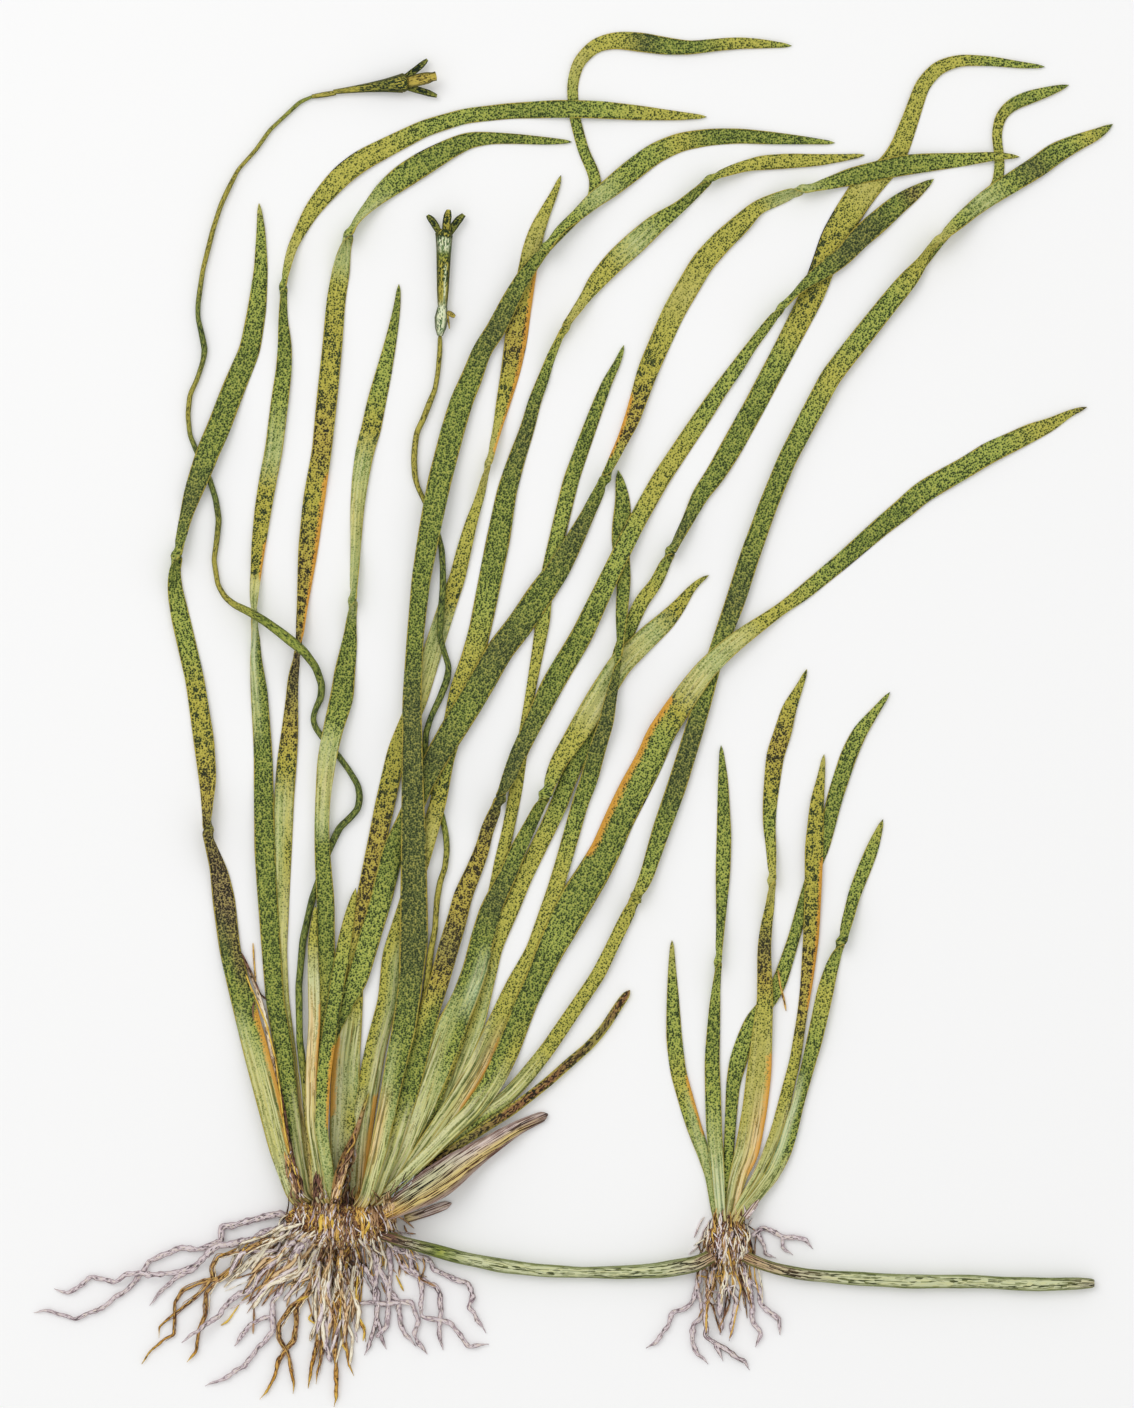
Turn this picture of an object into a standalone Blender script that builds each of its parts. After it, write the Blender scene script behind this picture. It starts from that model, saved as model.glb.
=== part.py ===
"""Vallisneria: a whole uprooted plant with its daughter plant, laid down on a flat surface.

Metres, +Z up. The plant lies in the XY plane with its leaves towards +Y and its roots towards -Y.
Every blade, stalk, runner and root is first a course in plan, traced by hand in trace units, and
then it is draped: pieces are laid one after another, and each one rises over those beneath it.
"""
import math

import bpy
import numpy as np

for old in list(bpy.data.objects):
    bpy.data.objects.remove(old, do_unlink=True)

# Sizes in metres
TRACE = 0.0003
BLADE_THICKNESS = 0.0007
LAYER_GAP = 0.0003
CELL = 0.0005
CROWN_HEIGHT = 0.013
DAUGHTER_CROWN_HEIGHT = 0.008
FIELD_WIDTH = 0.36
FIELD_LENGTH = 0.45
TRACE_HEIGHT = 1420

# Marks a point of a blade where it turns over and is seen edge on
TWIST = 1

# Courses of the long leaves, tip first: across, down, width seen from above, all in trace units
LEAF_A = [
    (259, 203, 3), (261, 230, 9), (261, 270, 14), (257, 310, 19), (250, 350, 21), (235, 385, 23),
    (218, 430, 24), (209, 450, 24), (200, 475, 22), (191, 500, 17), (185, 520, 12), (177, 555, 9, TWIST),
    (174, 570, 11), (175, 590, 16), (181, 620, 19), (195, 680, 19), (204, 740, 21), (208, 780, 18),
    (208, 800, 14), (208, 830, 8, TWIST), (213, 850, 13), (219, 870, 18), (224, 900, 23),
    (230, 950, 21), (243, 1000, 24), (256, 1050, 26), (269, 1100, 25), (281, 1150, 22), (296, 1198, 16)]
LEAF_B = [
    (707, 117, 3), (680, 116, 9), (640, 113, 15), (600, 110, 18), (560, 109, 18), (510, 111, 16),
    (465, 116, 15), (425, 128, 17), (385, 148, 20), (362, 160, 22), (342, 175, 22), (328, 190, 20),
    (312, 210, 16), (301, 230, 12), (291, 250, 9), (283, 285, 6, TWIST), (283, 320, 10),
    (285, 345, 14), (284, 370, 16), (280, 400, 18), (274, 450, 18), (268, 480, 18), (263, 510, 17),
    (258, 550, 14), (254, 600, 7), (255, 615, 5, TWIST), (256, 630, 6), (256, 660, 12), (259, 690, 17),
    (263, 750, 19), (265, 850, 21), (270, 900, 24), (277, 1000, 22), (284, 1050, 19), (290, 1100, 16),
    (298, 1150, 13), (306, 1196, 12)]
LEAF_C = [
    (572, 142, 3), (545, 141, 8), (518, 139, 10), (490, 138, 12), (468, 140, 17), (447, 150, 21),
    (425, 165, 22), (404, 180, 20), (384, 195, 15), (374, 205, 10), (358, 218, 7),
    (348, 235, 7, TWIST), (344, 250, 13), (342, 265, 18), (336, 300, 19), (332, 350, 20),
    (327, 400, 21), (322, 450, 20), (314, 500, 22), (308, 550, 20), (303, 600, 12),
    (299, 648, 5, TWIST), (293, 680, 10), (290, 730, 17), (287, 760, 20), (284, 800, 20),
    (283, 850, 18), (281, 950, 17), (283, 1000, 16), (289, 1060, 16), (298, 1130, 14), (313, 1194, 10)]
LEAF_D = [
    (399, 284, 3), (398, 300, 6), (395, 320, 9), (389, 350, 13), (382, 380, 17), (377, 400, 19),
    (371, 430, 20), (365, 450, 19), (360, 480, 17), (357, 510, 14), (356, 540, 11),
    (353, 600, 7, TWIST), (351, 620, 10), (350, 640, 15), (346, 670, 19), (343, 700, 21),
    (333, 730, 20), (327, 760, 19), (323, 800, 15), (322, 830, 15), (323, 860, 16), (326, 900, 18),
    (326, 980, 18), (322, 1020, 18), (318, 1070, 18), (316, 1120, 16), (319, 1196, 10)]
LEAF_F = [
    (835, 143, 3), (800, 140, 9), (770, 138, 13), (740, 136, 15), (710, 137, 17), (680, 142, 19),
    (655, 153, 21), (630, 172, 22), (608, 190, 20), (594, 200, 17), (577, 216, 13), (559, 230, 11),
    (545, 250, 9, TWIST), (528, 270, 14), (511, 300, 18), (496, 330, 20), (482, 350, 19),
    (471, 380, 22), (462, 400, 23), (453, 430, 24), (440, 480, 24), (430, 530, 22), (421, 580, 19),
    (415, 640, 17), (412, 700, 19), (413, 780, 22), (412, 860, 22), (411, 940, 22), (409, 980, 20),
    (403, 1030, 22), (397, 1060, 22), (389, 1100, 19), (379, 1150, 17), (366, 1199, 12)]
LEAF_G = [
    (792, 46, 3), (765, 44, 9), (740, 43, 12), (715, 45, 13), (690, 47, 14), (665, 43, 18),
    (640, 37, 20), (615, 35, 17), (595, 42, 14), (578, 62, 12), (572, 85, 11), (574, 115, 11),
    (583, 150, 11), (596, 178, 12), (594, 200, 12), (577, 216, 11), (545, 250, 9), (511, 300, 12),
    (482, 350, 12), (462, 400, 13), (453, 430, 13), (440, 480, 13), (430, 530, 13), (421, 580, 12),
    (415, 640, 12), (412, 700, 12), (413, 780, 13), (412, 860, 13), (411, 940, 13), (409, 980, 13),
    (403, 1030, 13), (391, 1090, 12), (379, 1150, 11), (367, 1199, 10)]
LEAF_H = [
    (561, 175, 3), (556, 190, 7), (546, 210, 11), (537, 230, 16), (531, 250, 18), (524, 290, 20),
    (520, 310, 22), (516, 340, 23), (511, 370, 20), (504, 400, 15), (497, 430, 9),
    (488, 465, 5, TWIST), (479, 500, 8), (472, 520, 12), (464, 550, 15), (457, 580, 16),
    (449, 600, 18), (433, 650, 19), (418, 700, 19), (397, 750, 19), (386, 800, 20), (373, 860, 18),
    (365, 900, 18), (358, 930, 17), (355, 965, 17), (354, 1000, 18), (351, 1025, 22), (347, 1052, 27),
    (344, 1085, 27), (342, 1110, 24), (339, 1140, 18), (340, 1170, 14), (342, 1198, 10)]
LEAF_J = [
    (1020, 157, 3), (1000, 156, 8), (960, 160, 14), (925, 163, 19), (900, 166, 21), (850, 177, 18),
    (830, 182, 15), (800, 190, 10, TWIST), (780, 197, 12), (757, 205, 16), (740, 222, 20),
    (720, 240, 22), (700, 262, 24), (672, 310, 24), (660, 340, 22), (648, 370, 21), (640, 395, 18),
    (632, 420, 16), (623, 440, 12), (605, 480, 9, TWIST), (595, 500, 12), (585, 520, 15),
    (572, 545, 20), (558, 570, 24), (540, 595, 27), (520, 625, 27), (500, 650, 27), (480, 685, 28),
    (465, 710, 28), (450, 735, 26), (435, 760, 24), (422, 785, 22), (408, 820, 22), (393, 850, 22),
    (381, 900, 22), (366, 950, 22), (357, 980, 22), (345, 1003, 18), (333, 1030, 15), (326, 1052, 14),
    (322, 1077, 14), (319, 1102, 13), (318, 1135, 12), (322, 1165, 11), (328, 1197, 10)]
LEAF_K = [
    (1069, 85, 3), (1050, 91, 10), (1030, 97, 14), (1012, 104, 13), (1000, 116, 11), (996, 135, 10),
    (1000, 160, 10), (998, 185, 11), (985, 200, 11), (970, 212, 11), (945, 235, 9), (920, 265, 12),
    (895, 300, 12), (865, 340, 12), (835, 378, 12), (812, 420, 12), (790, 460, 12), (770, 505, 12),
    (752, 555, 12), (735, 605, 12), (717, 650, 12), (705, 700, 12), (688, 760, 12), (672, 805, 12),
    (657, 850, 11), (635, 900, 10), (611, 950, 11), (581, 1000, 11), (547, 1050, 11), (505, 1099, 11),
    (440, 1147, 11), (386, 1196, 10)]
LEAF_L = [
    (865, 155, 3), (850, 157, 6), (820, 160, 12), (790, 161, 15), (760, 163, 15), (740, 167, 9),
    (710, 178, 6, TWIST), (700, 188, 9), (680, 207, 12), (660, 228, 18), (640, 247, 19),
    (620, 265, 18), (600, 285, 14), (588, 298, 9), (565, 328, 6, TWIST), (550, 360, 9),
    (543, 380, 12), (535, 400, 13), (527, 430, 15), (518, 455, 17), (509, 490, 19), (500, 540, 22),
    (489, 600, 21), (483, 630, 20), (474, 660, 21), (463, 690, 22), (455, 720, 22), (448, 760, 21),
    (442, 800, 20), (433, 840, 20), (420, 880, 20), (405, 915, 20), (392, 955, 20), (388, 1000, 20),
    (376, 1050, 19), (368, 1100, 18), (362, 1150, 15), (356, 1199, 12)]
LEAF_M = [
    (624, 345, 3), (618, 362, 7), (608, 380, 10), (600, 400, 12), (589, 430, 14), (571, 480, 16),
    (559, 530, 16), (551, 560, 14), (545, 590, 15), (543, 620, 15), (538, 650, 12), (529, 700, 9),
    (522, 750, 12), (516, 790, 13), (508, 830, 12), (501, 860, 13), (495, 890, 13), (480, 960, 14),
    (462, 1030, 14), (435, 1100, 13), (383, 1197, 11)]
LEAF_N = [
    (934, 179, 3), (915, 195, 12), (900, 207, 15), (880, 225, 18), (860, 240, 19), (845, 255, 19),
    (825, 270, 18), (810, 280, 13), (795, 293, 8), (780, 309, 6, TWIST), (765, 328, 9),
    (750, 348, 11), (735, 370, 14), (720, 390, 15), (707, 410, 17), (690, 435, 18), (660, 480, 18),
    (635, 525, 18), (607, 580, 19), (580, 635, 19), (550, 685, 20), (530, 730, 18), (518, 755, 17),
    (508, 780, 14), (500, 800, 9, TWIST), (487, 830, 12), (482, 850, 15), (472, 875, 17),
    (463, 895, 19), (457, 920, 20), (448, 950, 21), (440, 980, 20), (430, 1010, 20), (420, 1040, 20),
    (410, 1070, 19), (402, 1105, 17), (390, 1150, 15), (374, 1199, 11)]
LEAF_P = [
    (618, 470, 3), (620, 482, 10), (623, 500, 15), (622, 520, 19), (620, 540, 18), (622, 560, 16),
    (624, 580, 14), (621, 620, 12), (620, 640, 9), (618, 660, 5, TWIST), (615, 680, 8),
    (610, 700, 13), (607, 720, 15), (597, 750, 17), (589, 780, 18), (581, 800, 17), (564, 860, 16),
    (555, 890, 16), (545, 920, 17), (534, 950, 16), (521, 985, 15), (498, 1030, 14), (480, 1065, 14),
    (455, 1105, 14), (425, 1145, 13), (389, 1198, 11)]
LEAF_R = [
    (1045, 67, 3), (1020, 65, 7), (990, 61, 10), (960, 60, 12), (938, 67, 14), (922, 85, 15),
    (912, 115, 17), (900, 148, 20), (890, 165, 22), (870, 190, 26), (855, 215, 26), (840, 240, 24),
    (828, 270, 22), (815, 300, 22), (785, 355, 21), (755, 410, 22), (730, 450, 22), (715, 475, 20),
    (700, 495, 17), (688, 520, 12), (670, 552, 9, TWIST), (655, 585, 13), (642, 600, 15),
    (622, 645, 14), (612, 680, 14), (600, 710, 14), (588, 740, 15), (568, 780, 17), (561, 800, 18),
    (547, 830, 17), (538, 850, 17), (526, 880, 16), (517, 905, 15), (500, 950, 14), (478, 1020, 14),
    (460, 1060, 14), (440, 1110, 13), (415, 1150, 13), (385, 1196, 11)]
LEAF_S = [
    (709, 575, 3), (700, 580, 5), (690, 590, 8), (680, 605, 14), (665, 622, 20), (650, 635, 22),
    (622, 665, 22), (600, 700, 22), (585, 725, 22), (572, 745, 18), (560, 765, 14),
    (545, 795, 11, TWIST), (530, 825, 13), (520, 845, 16), (510, 870, 18), (500, 890, 20),
    (490, 910, 22), (482, 940, 24), (475, 970, 25), (465, 1000, 24), (455, 1030, 22), (440, 1070, 20),
    (422, 1110, 18), (405, 1150, 16), (379, 1198, 12)]
LEAF_T = [
    (1087, 407, 3), (1070, 413, 7), (1050, 425, 14), (1030, 433, 17), (1010, 443, 18), (990, 452, 20),
    (965, 465, 21), (940, 478, 22), (920, 490, 22), (900, 508, 21), (880, 523, 19), (840, 558, 17),
    (800, 592, 15), (780, 607, 14), (760, 622, 17), (740, 638, 18), (720, 655, 20), (705, 670, 22),
    (690, 690, 24), (675, 712, 26), (660, 735, 28), (648, 760, 32), (632, 790, 34), (618, 820, 36),
    (605, 850, 38), (590, 875, 38), (578, 900, 38), (566, 925, 36), (555, 950, 32), (545, 975, 27),
    (535, 1000, 22), (515, 1050, 20), (498, 1080, 20), (477, 1108, 18), (445, 1137, 15),
    (384, 1196, 12)]
LEAF_U = [
    (1113, 124, 3), (1098, 134, 12), (1080, 141, 16), (1055, 153, 22), (1040, 165, 22),
    (1000, 190, 20), (985, 200, 18), (970, 212, 16), (955, 225, 12), (940, 239, 6, TWIST),
    (927, 250, 8), (920, 265, 14), (908, 280, 19), (895, 300, 20), (865, 340, 20), (835, 378, 20),
    (812, 420, 19), (790, 460, 18), (770, 505, 17), (752, 555, 18), (735, 605, 18), (717, 650, 16),
    (705, 700, 17), (697, 730, 18), (680, 785, 19), (664, 830, 17), (646, 878, 14),
    (635, 900, 11, TWIST), (625, 920, 12), (598, 975, 14), (581, 1000, 14), (547, 1050, 15),
    (523, 1080, 16), (505, 1099, 15), (476, 1118, 14), (440, 1147, 13), (408, 1173, 12),
    (384, 1197, 11)]
YOUNG_LEFT = [
    (316, 905, 3), (313, 940, 10), (314, 980, 12), (315, 1020, 12), (312, 1070, 12), (312, 1120, 12),
    (324, 1197, 9)]
YOUNG_RIGHT = [
    (356, 888, 3), (351, 910, 10), (345, 940, 14), (338, 980, 15), (330, 1030, 15), (324, 1080, 14),
    (322, 1130, 13), (334, 1198, 10)]
DEAD_LEFT = [
    (240, 952, 3), (256, 985, 7), (266, 1020, 8), (276, 1080, 8), (286, 1130, 9), (295, 1170, 9),
    (302, 1198, 9)]
DEAD_MIDDLE = [
    (369, 1092, 3), (361, 1117, 4), (356, 1134, 6), (348, 1150, 9), (342, 1167, 10), (338, 1183, 11),
    (337, 1201, 10)]
STUB = [
    (630, 990, 7), (620, 1003, 9), (605, 1027, 9), (590, 1045, 9), (570, 1062, 10), (550, 1080, 10),
    (530, 1096, 10), (510, 1111, 11), (490, 1124, 10), (467, 1139, 9), (445, 1153, 8),
    (418, 1172, 8), (390, 1199, 8)]
OLD_SHEATH = [
    (548, 1114, 10), (520, 1126, 14), (500, 1138, 18), (480, 1151, 23), (460, 1164, 30),
    (444, 1176, 35), (430, 1185, 34), (415, 1194, 28), (400, 1204, 20), (386, 1211, 13)]
SMALL_SHEATH = [(452, 1203, 7), (440, 1207, 10), (425, 1213, 9), (405, 1219, 9)]

# The daughter plant's leaves
DAUGHTER_1 = [
    (721, 745, 3), (723, 778, 10), (724, 835, 15), (723, 870, 15), (721, 915, 10),
    (718, 961, 6, TWIST), (715, 1000, 11), (713, 1038, 14), (712, 1061, 15), (713, 1095, 16),
    (714, 1130, 16), (717, 1164, 14), (721, 1217, 9)]
DAUGHTER_2 = [
    (672, 940, 3), (672, 969, 8), (673, 1003, 13), (674, 1038, 16), (678, 1072, 16), (688, 1107, 16),
    (695, 1130, 15), (703, 1152, 13), (710, 1175, 10), (716, 1217, 8)]
DAUGHTER_3 = [
    (807, 669, 3), (800, 686, 7), (791, 709, 12), (785, 732, 15), (777, 755, 15), (770, 801, 15),
    (769, 824, 13), (771, 847, 10), (772, 880, 7, TWIST), (770, 904, 9), (766, 927, 12),
    (764, 950, 14), (765, 1000, 16), (762, 1072, 20), (754, 1107, 22), (744, 1152, 20),
    (738, 1175, 18), (729, 1217, 11)]
DAUGHTER_4 = [
    (890, 692, 3), (877, 709, 8), (862, 732, 12), (851, 755, 13), (836, 801, 13), (824, 847, 12),
    (812, 875, 12), (802, 899, 12), (792, 938, 14), (779, 984, 15), (770, 1000, 15), (752, 1020, 15),
    (745, 1038, 16), (738, 1061, 18), (733, 1084, 14), (730, 1130, 11), (725, 1217, 8)]
DAUGHTER_5 = [
    (824, 754, 3), (821, 778, 8), (817, 801, 14), (814, 847, 19), (813, 892, 17), (811, 938, 16),
    (806, 988, 12), (802, 1015, 10), (795, 1061, 11), (789, 1084, 12), (778, 1130, 14),
    (770, 1152, 14), (760, 1175, 14), (734, 1217, 10)]
DAUGHTER_6 = [
    (883, 819, 3), (873, 847, 13), (864, 870, 14), (855, 892, 13), (841, 942, 8, TWIST),
    (832, 965, 13), (825, 992, 17), (815, 1038, 16), (809, 1061, 14), (797, 1107, 12),
    (790, 1130, 16), (783, 1152, 17), (772, 1175, 15), (739, 1216, 10)]
DAUGHTER_SHEATH = [(759, 1198, 3), (753, 1206, 6), (745, 1217, 7)]

# Stalks and runners: across, down, diameter
STALK_LEFT = [
    (314, 96, 3), (300, 102, 4), (283, 118, 4), (270, 130, 4), (256, 150, 4), (247, 160, 4),
    (238, 170, 4), (228, 190, 5), (221, 205, 5), (213, 230, 5), (208, 250, 5), (203, 270, 5),
    (200, 290, 5), (198, 305, 5), (198, 318, 5), (202, 335, 6), (205, 350, 6), (203, 362, 5),
    (197, 380, 5), (190, 395, 5), (188, 415, 5), (190, 435, 5), (196, 450, 5), (203, 466, 5),
    (210, 480, 6), (216, 500, 6), (219, 520, 6), (217, 540, 6), (214, 560, 5), (218, 585, 5),
    (225, 597, 6), (235, 605, 7), (250, 612, 8), (265, 621, 9), (280, 632, 10), (294, 643, 10),
    (305, 652, 9), (316, 667, 8), (322, 685, 7), (321, 698, 7), (316, 708, 6), (313, 718, 6),
    (315, 727, 6), (323, 738, 6), (338, 755, 6), (349, 770, 6), (358, 785, 6), (360, 797, 7),
    (358, 809, 7), (350, 818, 7), (340, 827, 7), (334, 839, 7), (328, 854, 6), (320, 876, 6),
    (312, 900, 7), (303, 940, 7), (299, 985, 7), (300, 1040, 7), (306, 1090, 8), (315, 1196, 9)]
STALK_RIGHT = [
    (440, 335, 4), (440, 350, 5), (438, 372, 5), (435, 390, 5), (430, 402, 6), (423, 420, 6),
    (417, 432, 6), (415, 445, 6), (414, 460, 6), (415, 477, 6), (418, 488, 5), (424, 500, 5),
    (432, 518, 5), (438, 533, 5), (442, 550, 6), (443, 570, 6), (443, 590, 7), (441, 615, 7),
    (440, 637, 6), (444, 651, 6), (449, 667, 6), (447, 680, 7), (440, 698, 7), (431, 717, 6),
    (426, 733, 6), (425, 755, 6), (430, 785, 6), (442, 815, 6), (446, 835, 6), (447, 850, 6),
    (445, 868, 6), (440, 882, 6), (437, 900, 6), (435, 930, 6), (431, 950, 6), (428, 975, 7),
    (424, 1000, 6), (410, 1060, 6), (395, 1120, 6), (370, 1198, 6)]
RUNNER = [
    (403, 1240, 11), (430, 1248, 13), (460, 1257, 13), (500, 1265, 14), (540, 1270, 13),
    (580, 1272, 11), (620, 1271, 12), (660, 1268, 13), (697, 1259, 12)]
RUNNER_TAIL = [
    (1094, 1283, 9), (1077, 1283, 12), (1043, 1284, 14), (1009, 1283, 13), (975, 1281, 13),
    (941, 1281, 14), (907, 1281, 14), (872, 1279, 14), (838, 1277, 13), (804, 1274, 12),
    (775, 1268, 12), (755, 1261, 12)]

# Outlines of the two crowns, across and down
CROWN = [
    (284, 1213), (291, 1205), (310, 1203), (330, 1202), (350, 1202), (372, 1203), (390, 1204),
    (399, 1213), (398, 1228), (388, 1238), (370, 1244), (345, 1247), (318, 1246), (298, 1239),
    (286, 1228)]
DAUGHTER_CROWN = [
    (702, 1240), (706, 1229), (716, 1222), (730, 1221), (742, 1223), (750, 1232), (752, 1245),
    (746, 1257), (734, 1265), (718, 1266), (706, 1257)]

# Roots, from the crown outwards: each node is one trunk and its forks, across, down, diameter.
# The first point of a fork lies on its trunk.
ROOTS = {
    "root_01": [[
        (280, 1213, 7), (250, 1221, 7), (222, 1227, 7), (221, 1241, 7), (199, 1250, 6), (183, 1247, 6),
        (150, 1262, 6), (142, 1274, 6), (127, 1290, 5), (104, 1307, 5), (75, 1320, 4), (61, 1314, 4),
        (44, 1310, 3), (33, 1313, 2)]],
    "root_02": [[
        (281, 1226, 7), (268, 1231, 7), (250, 1240, 7), (221, 1245, 7), (207, 1254, 7), (193, 1269, 6),
        (178, 1277, 5), (165, 1288, 4), (149, 1306, 3)],
        [(196, 1266, 6), (178, 1272, 5), (163, 1274, 6), (142, 1272, 6), (127, 1274, 5), (114, 1283, 5),
         (93, 1276, 5), (68, 1293, 4), (53, 1288, 2)]],
    "root_03": [[
        (285, 1237, 6), (266, 1240, 6), (242, 1251, 6), (237, 1264, 6), (219, 1279, 7), (204, 1281, 5),
        (183, 1290, 5), (175, 1302, 5), (174, 1318, 4), (174, 1334, 4), (162, 1341, 4), (151, 1351, 4),
        (141, 1365, 3)],
        [(219, 1279, 6), (206, 1293, 5), (206, 1315, 5), (199, 1331, 5), (196, 1351, 5), (187, 1362, 4)],
        [(242, 1251, 4), (219, 1254, 4), (211, 1267, 4), (213, 1277, 5), (199, 1294, 4),
         (178, 1311, 4), (159, 1327, 3), (159, 1338, 2)]],
    "root_04": [[
        (290, 1243, 6), (270, 1264, 6), (250, 1290, 6), (227, 1301, 6), (222, 1313, 6), (204, 1325, 5),
        (181, 1343, 3)]],
    "root_05": [[
        (300, 1245, 7), (290, 1268, 7), (280, 1290, 6), (273, 1302, 6), (273, 1331, 6), (257, 1348, 5),
        (244, 1366, 5), (224, 1379, 4), (205, 1386, 2)],
        [(273, 1316, 5), (262, 1319, 5), (250, 1325, 5), (241, 1336, 5), (234, 1347, 3)]],
    "root_06": [[
        (322, 1251, 8), (316, 1275, 8), (308, 1292, 7), (296, 1306, 7), (297, 1323, 6), (294, 1341, 6),
        (285, 1350, 6), (278, 1361, 6), (275, 1376, 5), (267, 1392, 4), (259, 1400, 2)],
        [(309, 1291, 6), (291, 1307, 6), (279, 1325, 5), (279, 1338, 5), (287, 1351, 5), (290, 1364, 5),
         (294, 1382, 5), (293, 1394, 3)]],
    "root_07": [[
        (331, 1252, 8), (328, 1270, 8), (326, 1295, 8), (320, 1325, 6), (318, 1338, 6), (311, 1369, 6),
        (308, 1389, 4)],
        [(320, 1325, 6), (323, 1345, 5), (319, 1365, 4), (316, 1384, 3)]],
    "root_08": [[
        (342, 1253, 8), (341, 1270, 8), (339, 1295, 8), (335, 1338, 7), (336, 1369, 7), (336, 1394, 6),
        (334, 1407, 3)],
        [(340, 1285, 6), (347, 1303, 6), (345, 1338, 5), (349, 1364, 5), (354, 1376, 3)]],
    "root_09": [[
        (357, 1251, 7), (357, 1277, 6), (358, 1318, 5), (364, 1330, 4), (366, 1343, 3)],
        [(357, 1262, 6), (369, 1272, 6), (377, 1292, 6), (377, 1315, 5), (380, 1335, 4), (387, 1350, 3)],
        [(377, 1318, 5), (371, 1341, 4), (364, 1356, 3)]],
    "root_10": [[
        (376, 1249, 7), (380, 1270, 6), (388, 1290, 6), (399, 1302, 6), (400, 1323, 5), (405, 1336, 5),
        (417, 1347, 3)],
        [(399, 1302, 5), (411, 1302, 5), (419, 1320, 5), (413, 1334, 5), (421, 1346, 5), (428, 1355, 3)]],
    "root_11": [[
        (393, 1243, 7), (402, 1262, 7), (420, 1279, 6), (434, 1284, 6), (440, 1294, 6), (441, 1313, 5),
        (440, 1333, 5), (443, 1350, 3)],
        [(420, 1279, 6), (422, 1296, 5), (422, 1315, 5), (451, 1323, 5), (469, 1346, 5), (477, 1344, 4),
         (489, 1344, 3)]],
    "root_12": [[
        (401, 1250, 6), (416, 1256, 6), (432, 1260, 5), (433, 1269, 6), (454, 1279, 6), (467, 1283, 6),
        (473, 1297, 5), (469, 1307, 5), (486, 1333, 3)]],
    "daughter_root_1": [[
        (700, 1263, 6), (699, 1277, 6), (696, 1292, 6), (690, 1305, 5), (672, 1313, 5), (668, 1328, 5),
        (657, 1341, 5), (646, 1348, 3)],
        [(697, 1288, 5), (703, 1313, 5), (694, 1325, 5), (691, 1341, 5), (698, 1353, 5),
         (708, 1364, 3)]],
    "daughter_root_2": [[
        (713, 1270, 7), (708, 1290, 7), (705, 1307, 6), (705, 1336, 5), (722, 1347, 5), (735, 1356, 5),
        (745, 1361, 4), (750, 1371, 2)],
        [(714, 1342, 5), (723, 1361, 3)]],
    "daughter_root_3": [[
        (726, 1270, 7), (722, 1290, 7), (719, 1307, 6), (722, 1323, 5), (720, 1336, 3)],
        [(723, 1284, 6), (737, 1300, 5), (732, 1323, 5), (729, 1341, 3)]],
    "daughter_root_4": [[
        (741, 1266, 7), (748, 1279, 7), (751, 1302, 6), (754, 1323, 5), (761, 1334, 5), (755, 1348, 3)],
        [(748, 1279, 5), (759, 1288, 5), (760, 1303, 5), (769, 1312, 5), (780, 1319, 5),
         (780, 1336, 3)]],
    "daughter_root_5": [[
        (755, 1233, 6), (762, 1227, 6), (770, 1230, 6), (783, 1237, 5), (806, 1240, 5), (813, 1249, 3)],
        [(783, 1237, 5), (782, 1247, 5), (793, 1255, 3)],
        [(757, 1231, 5), (763, 1245, 4), (766, 1254, 4), (776, 1258, 3)]],
}

# Materials: colour, roughness, metallic
BLADE_GREEN = (0.085, 0.16, 0.025, 0.42, 0.0)
BLADE_OLIVE = (0.30, 0.29, 0.06, 0.45, 0.0)
DEAD_BROWN = (0.13, 0.06, 0.025, 0.75, 0.0)
SHEATH_TAN = (0.35, 0.26, 0.20, 0.75, 0.0)
STALK_GREEN = (0.20, 0.24, 0.06, 0.45, 0.0)
RUNNER_GREEN = (0.29, 0.35, 0.11, 0.45, 0.0)
TEPAL_GREEN = (0.16, 0.22, 0.09, 0.5, 0.0)
CROWN_BROWN = (0.22, 0.10, 0.02, 0.8, 0.0)
ROOT_BROWN = (0.28, 0.14, 0.04, 0.7, 0.0)
ROOT_PALE = (0.50, 0.38, 0.38, 0.7, 0.0)


def material(name, look):
    """A Principled material of its own for one node."""
    made = bpy.data.materials.new(name + "_material")
    made.use_nodes = True
    shader = made.node_tree.nodes["Principled BSDF"]
    shader.inputs["Base Color"].default_value = (*look[:3], 1.0)
    shader.inputs["Roughness"].default_value = look[3]
    shader.inputs["Metallic"].default_value = look[4]
    made.diffuse_color = (*look[:3], 1.0)
    return made


def blur(values, cells):
    """Gaussian blur of a row of values over this many samples, with its two ends kept where they are."""
    reach = int(3 * cells)
    if reach < 1 or len(values) < 3:
        return values
    reach = min(reach, len(values) - 1)
    offsets = np.arange(-reach, reach + 1)
    weights = np.exp(-0.5 * (offsets / cells) ** 2)
    padded = np.pad(values, reach, mode="reflect", reflect_type="odd")
    return np.convolve(padded, weights / weights.sum(), mode="valid")


class Course:
    """A traced line in plan, read every trace unit of its length and smoothed. Metres."""

    def __init__(self, points, smooth):
        rows = np.array([point[:3] for point in points], float)
        steps = np.hypot(np.diff(rows[:, 0]), np.diff(rows[:, 1]))
        marks = np.concatenate([[0.0], np.cumsum(steps)])
        fine = np.linspace(0.0, marks[-1], int(marks[-1]) + 2)
        self.x = blur(np.interp(fine, marks, rows[:, 0]), smooth) * TRACE
        self.y = (TRACE_HEIGHT - blur(np.interp(fine, marks, rows[:, 1]), smooth)) * TRACE
        self.width = np.maximum(blur(np.interp(fine, marks, rows[:, 2]), smooth), 1.5) * TRACE
        self.twists = [marks[i] for i, point in enumerate(points) if len(point) > 3]
        self.s = fine
        self.length = marks[-1]

    def at(self, row, where):
        return np.interp(where, self.s, row)


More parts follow.
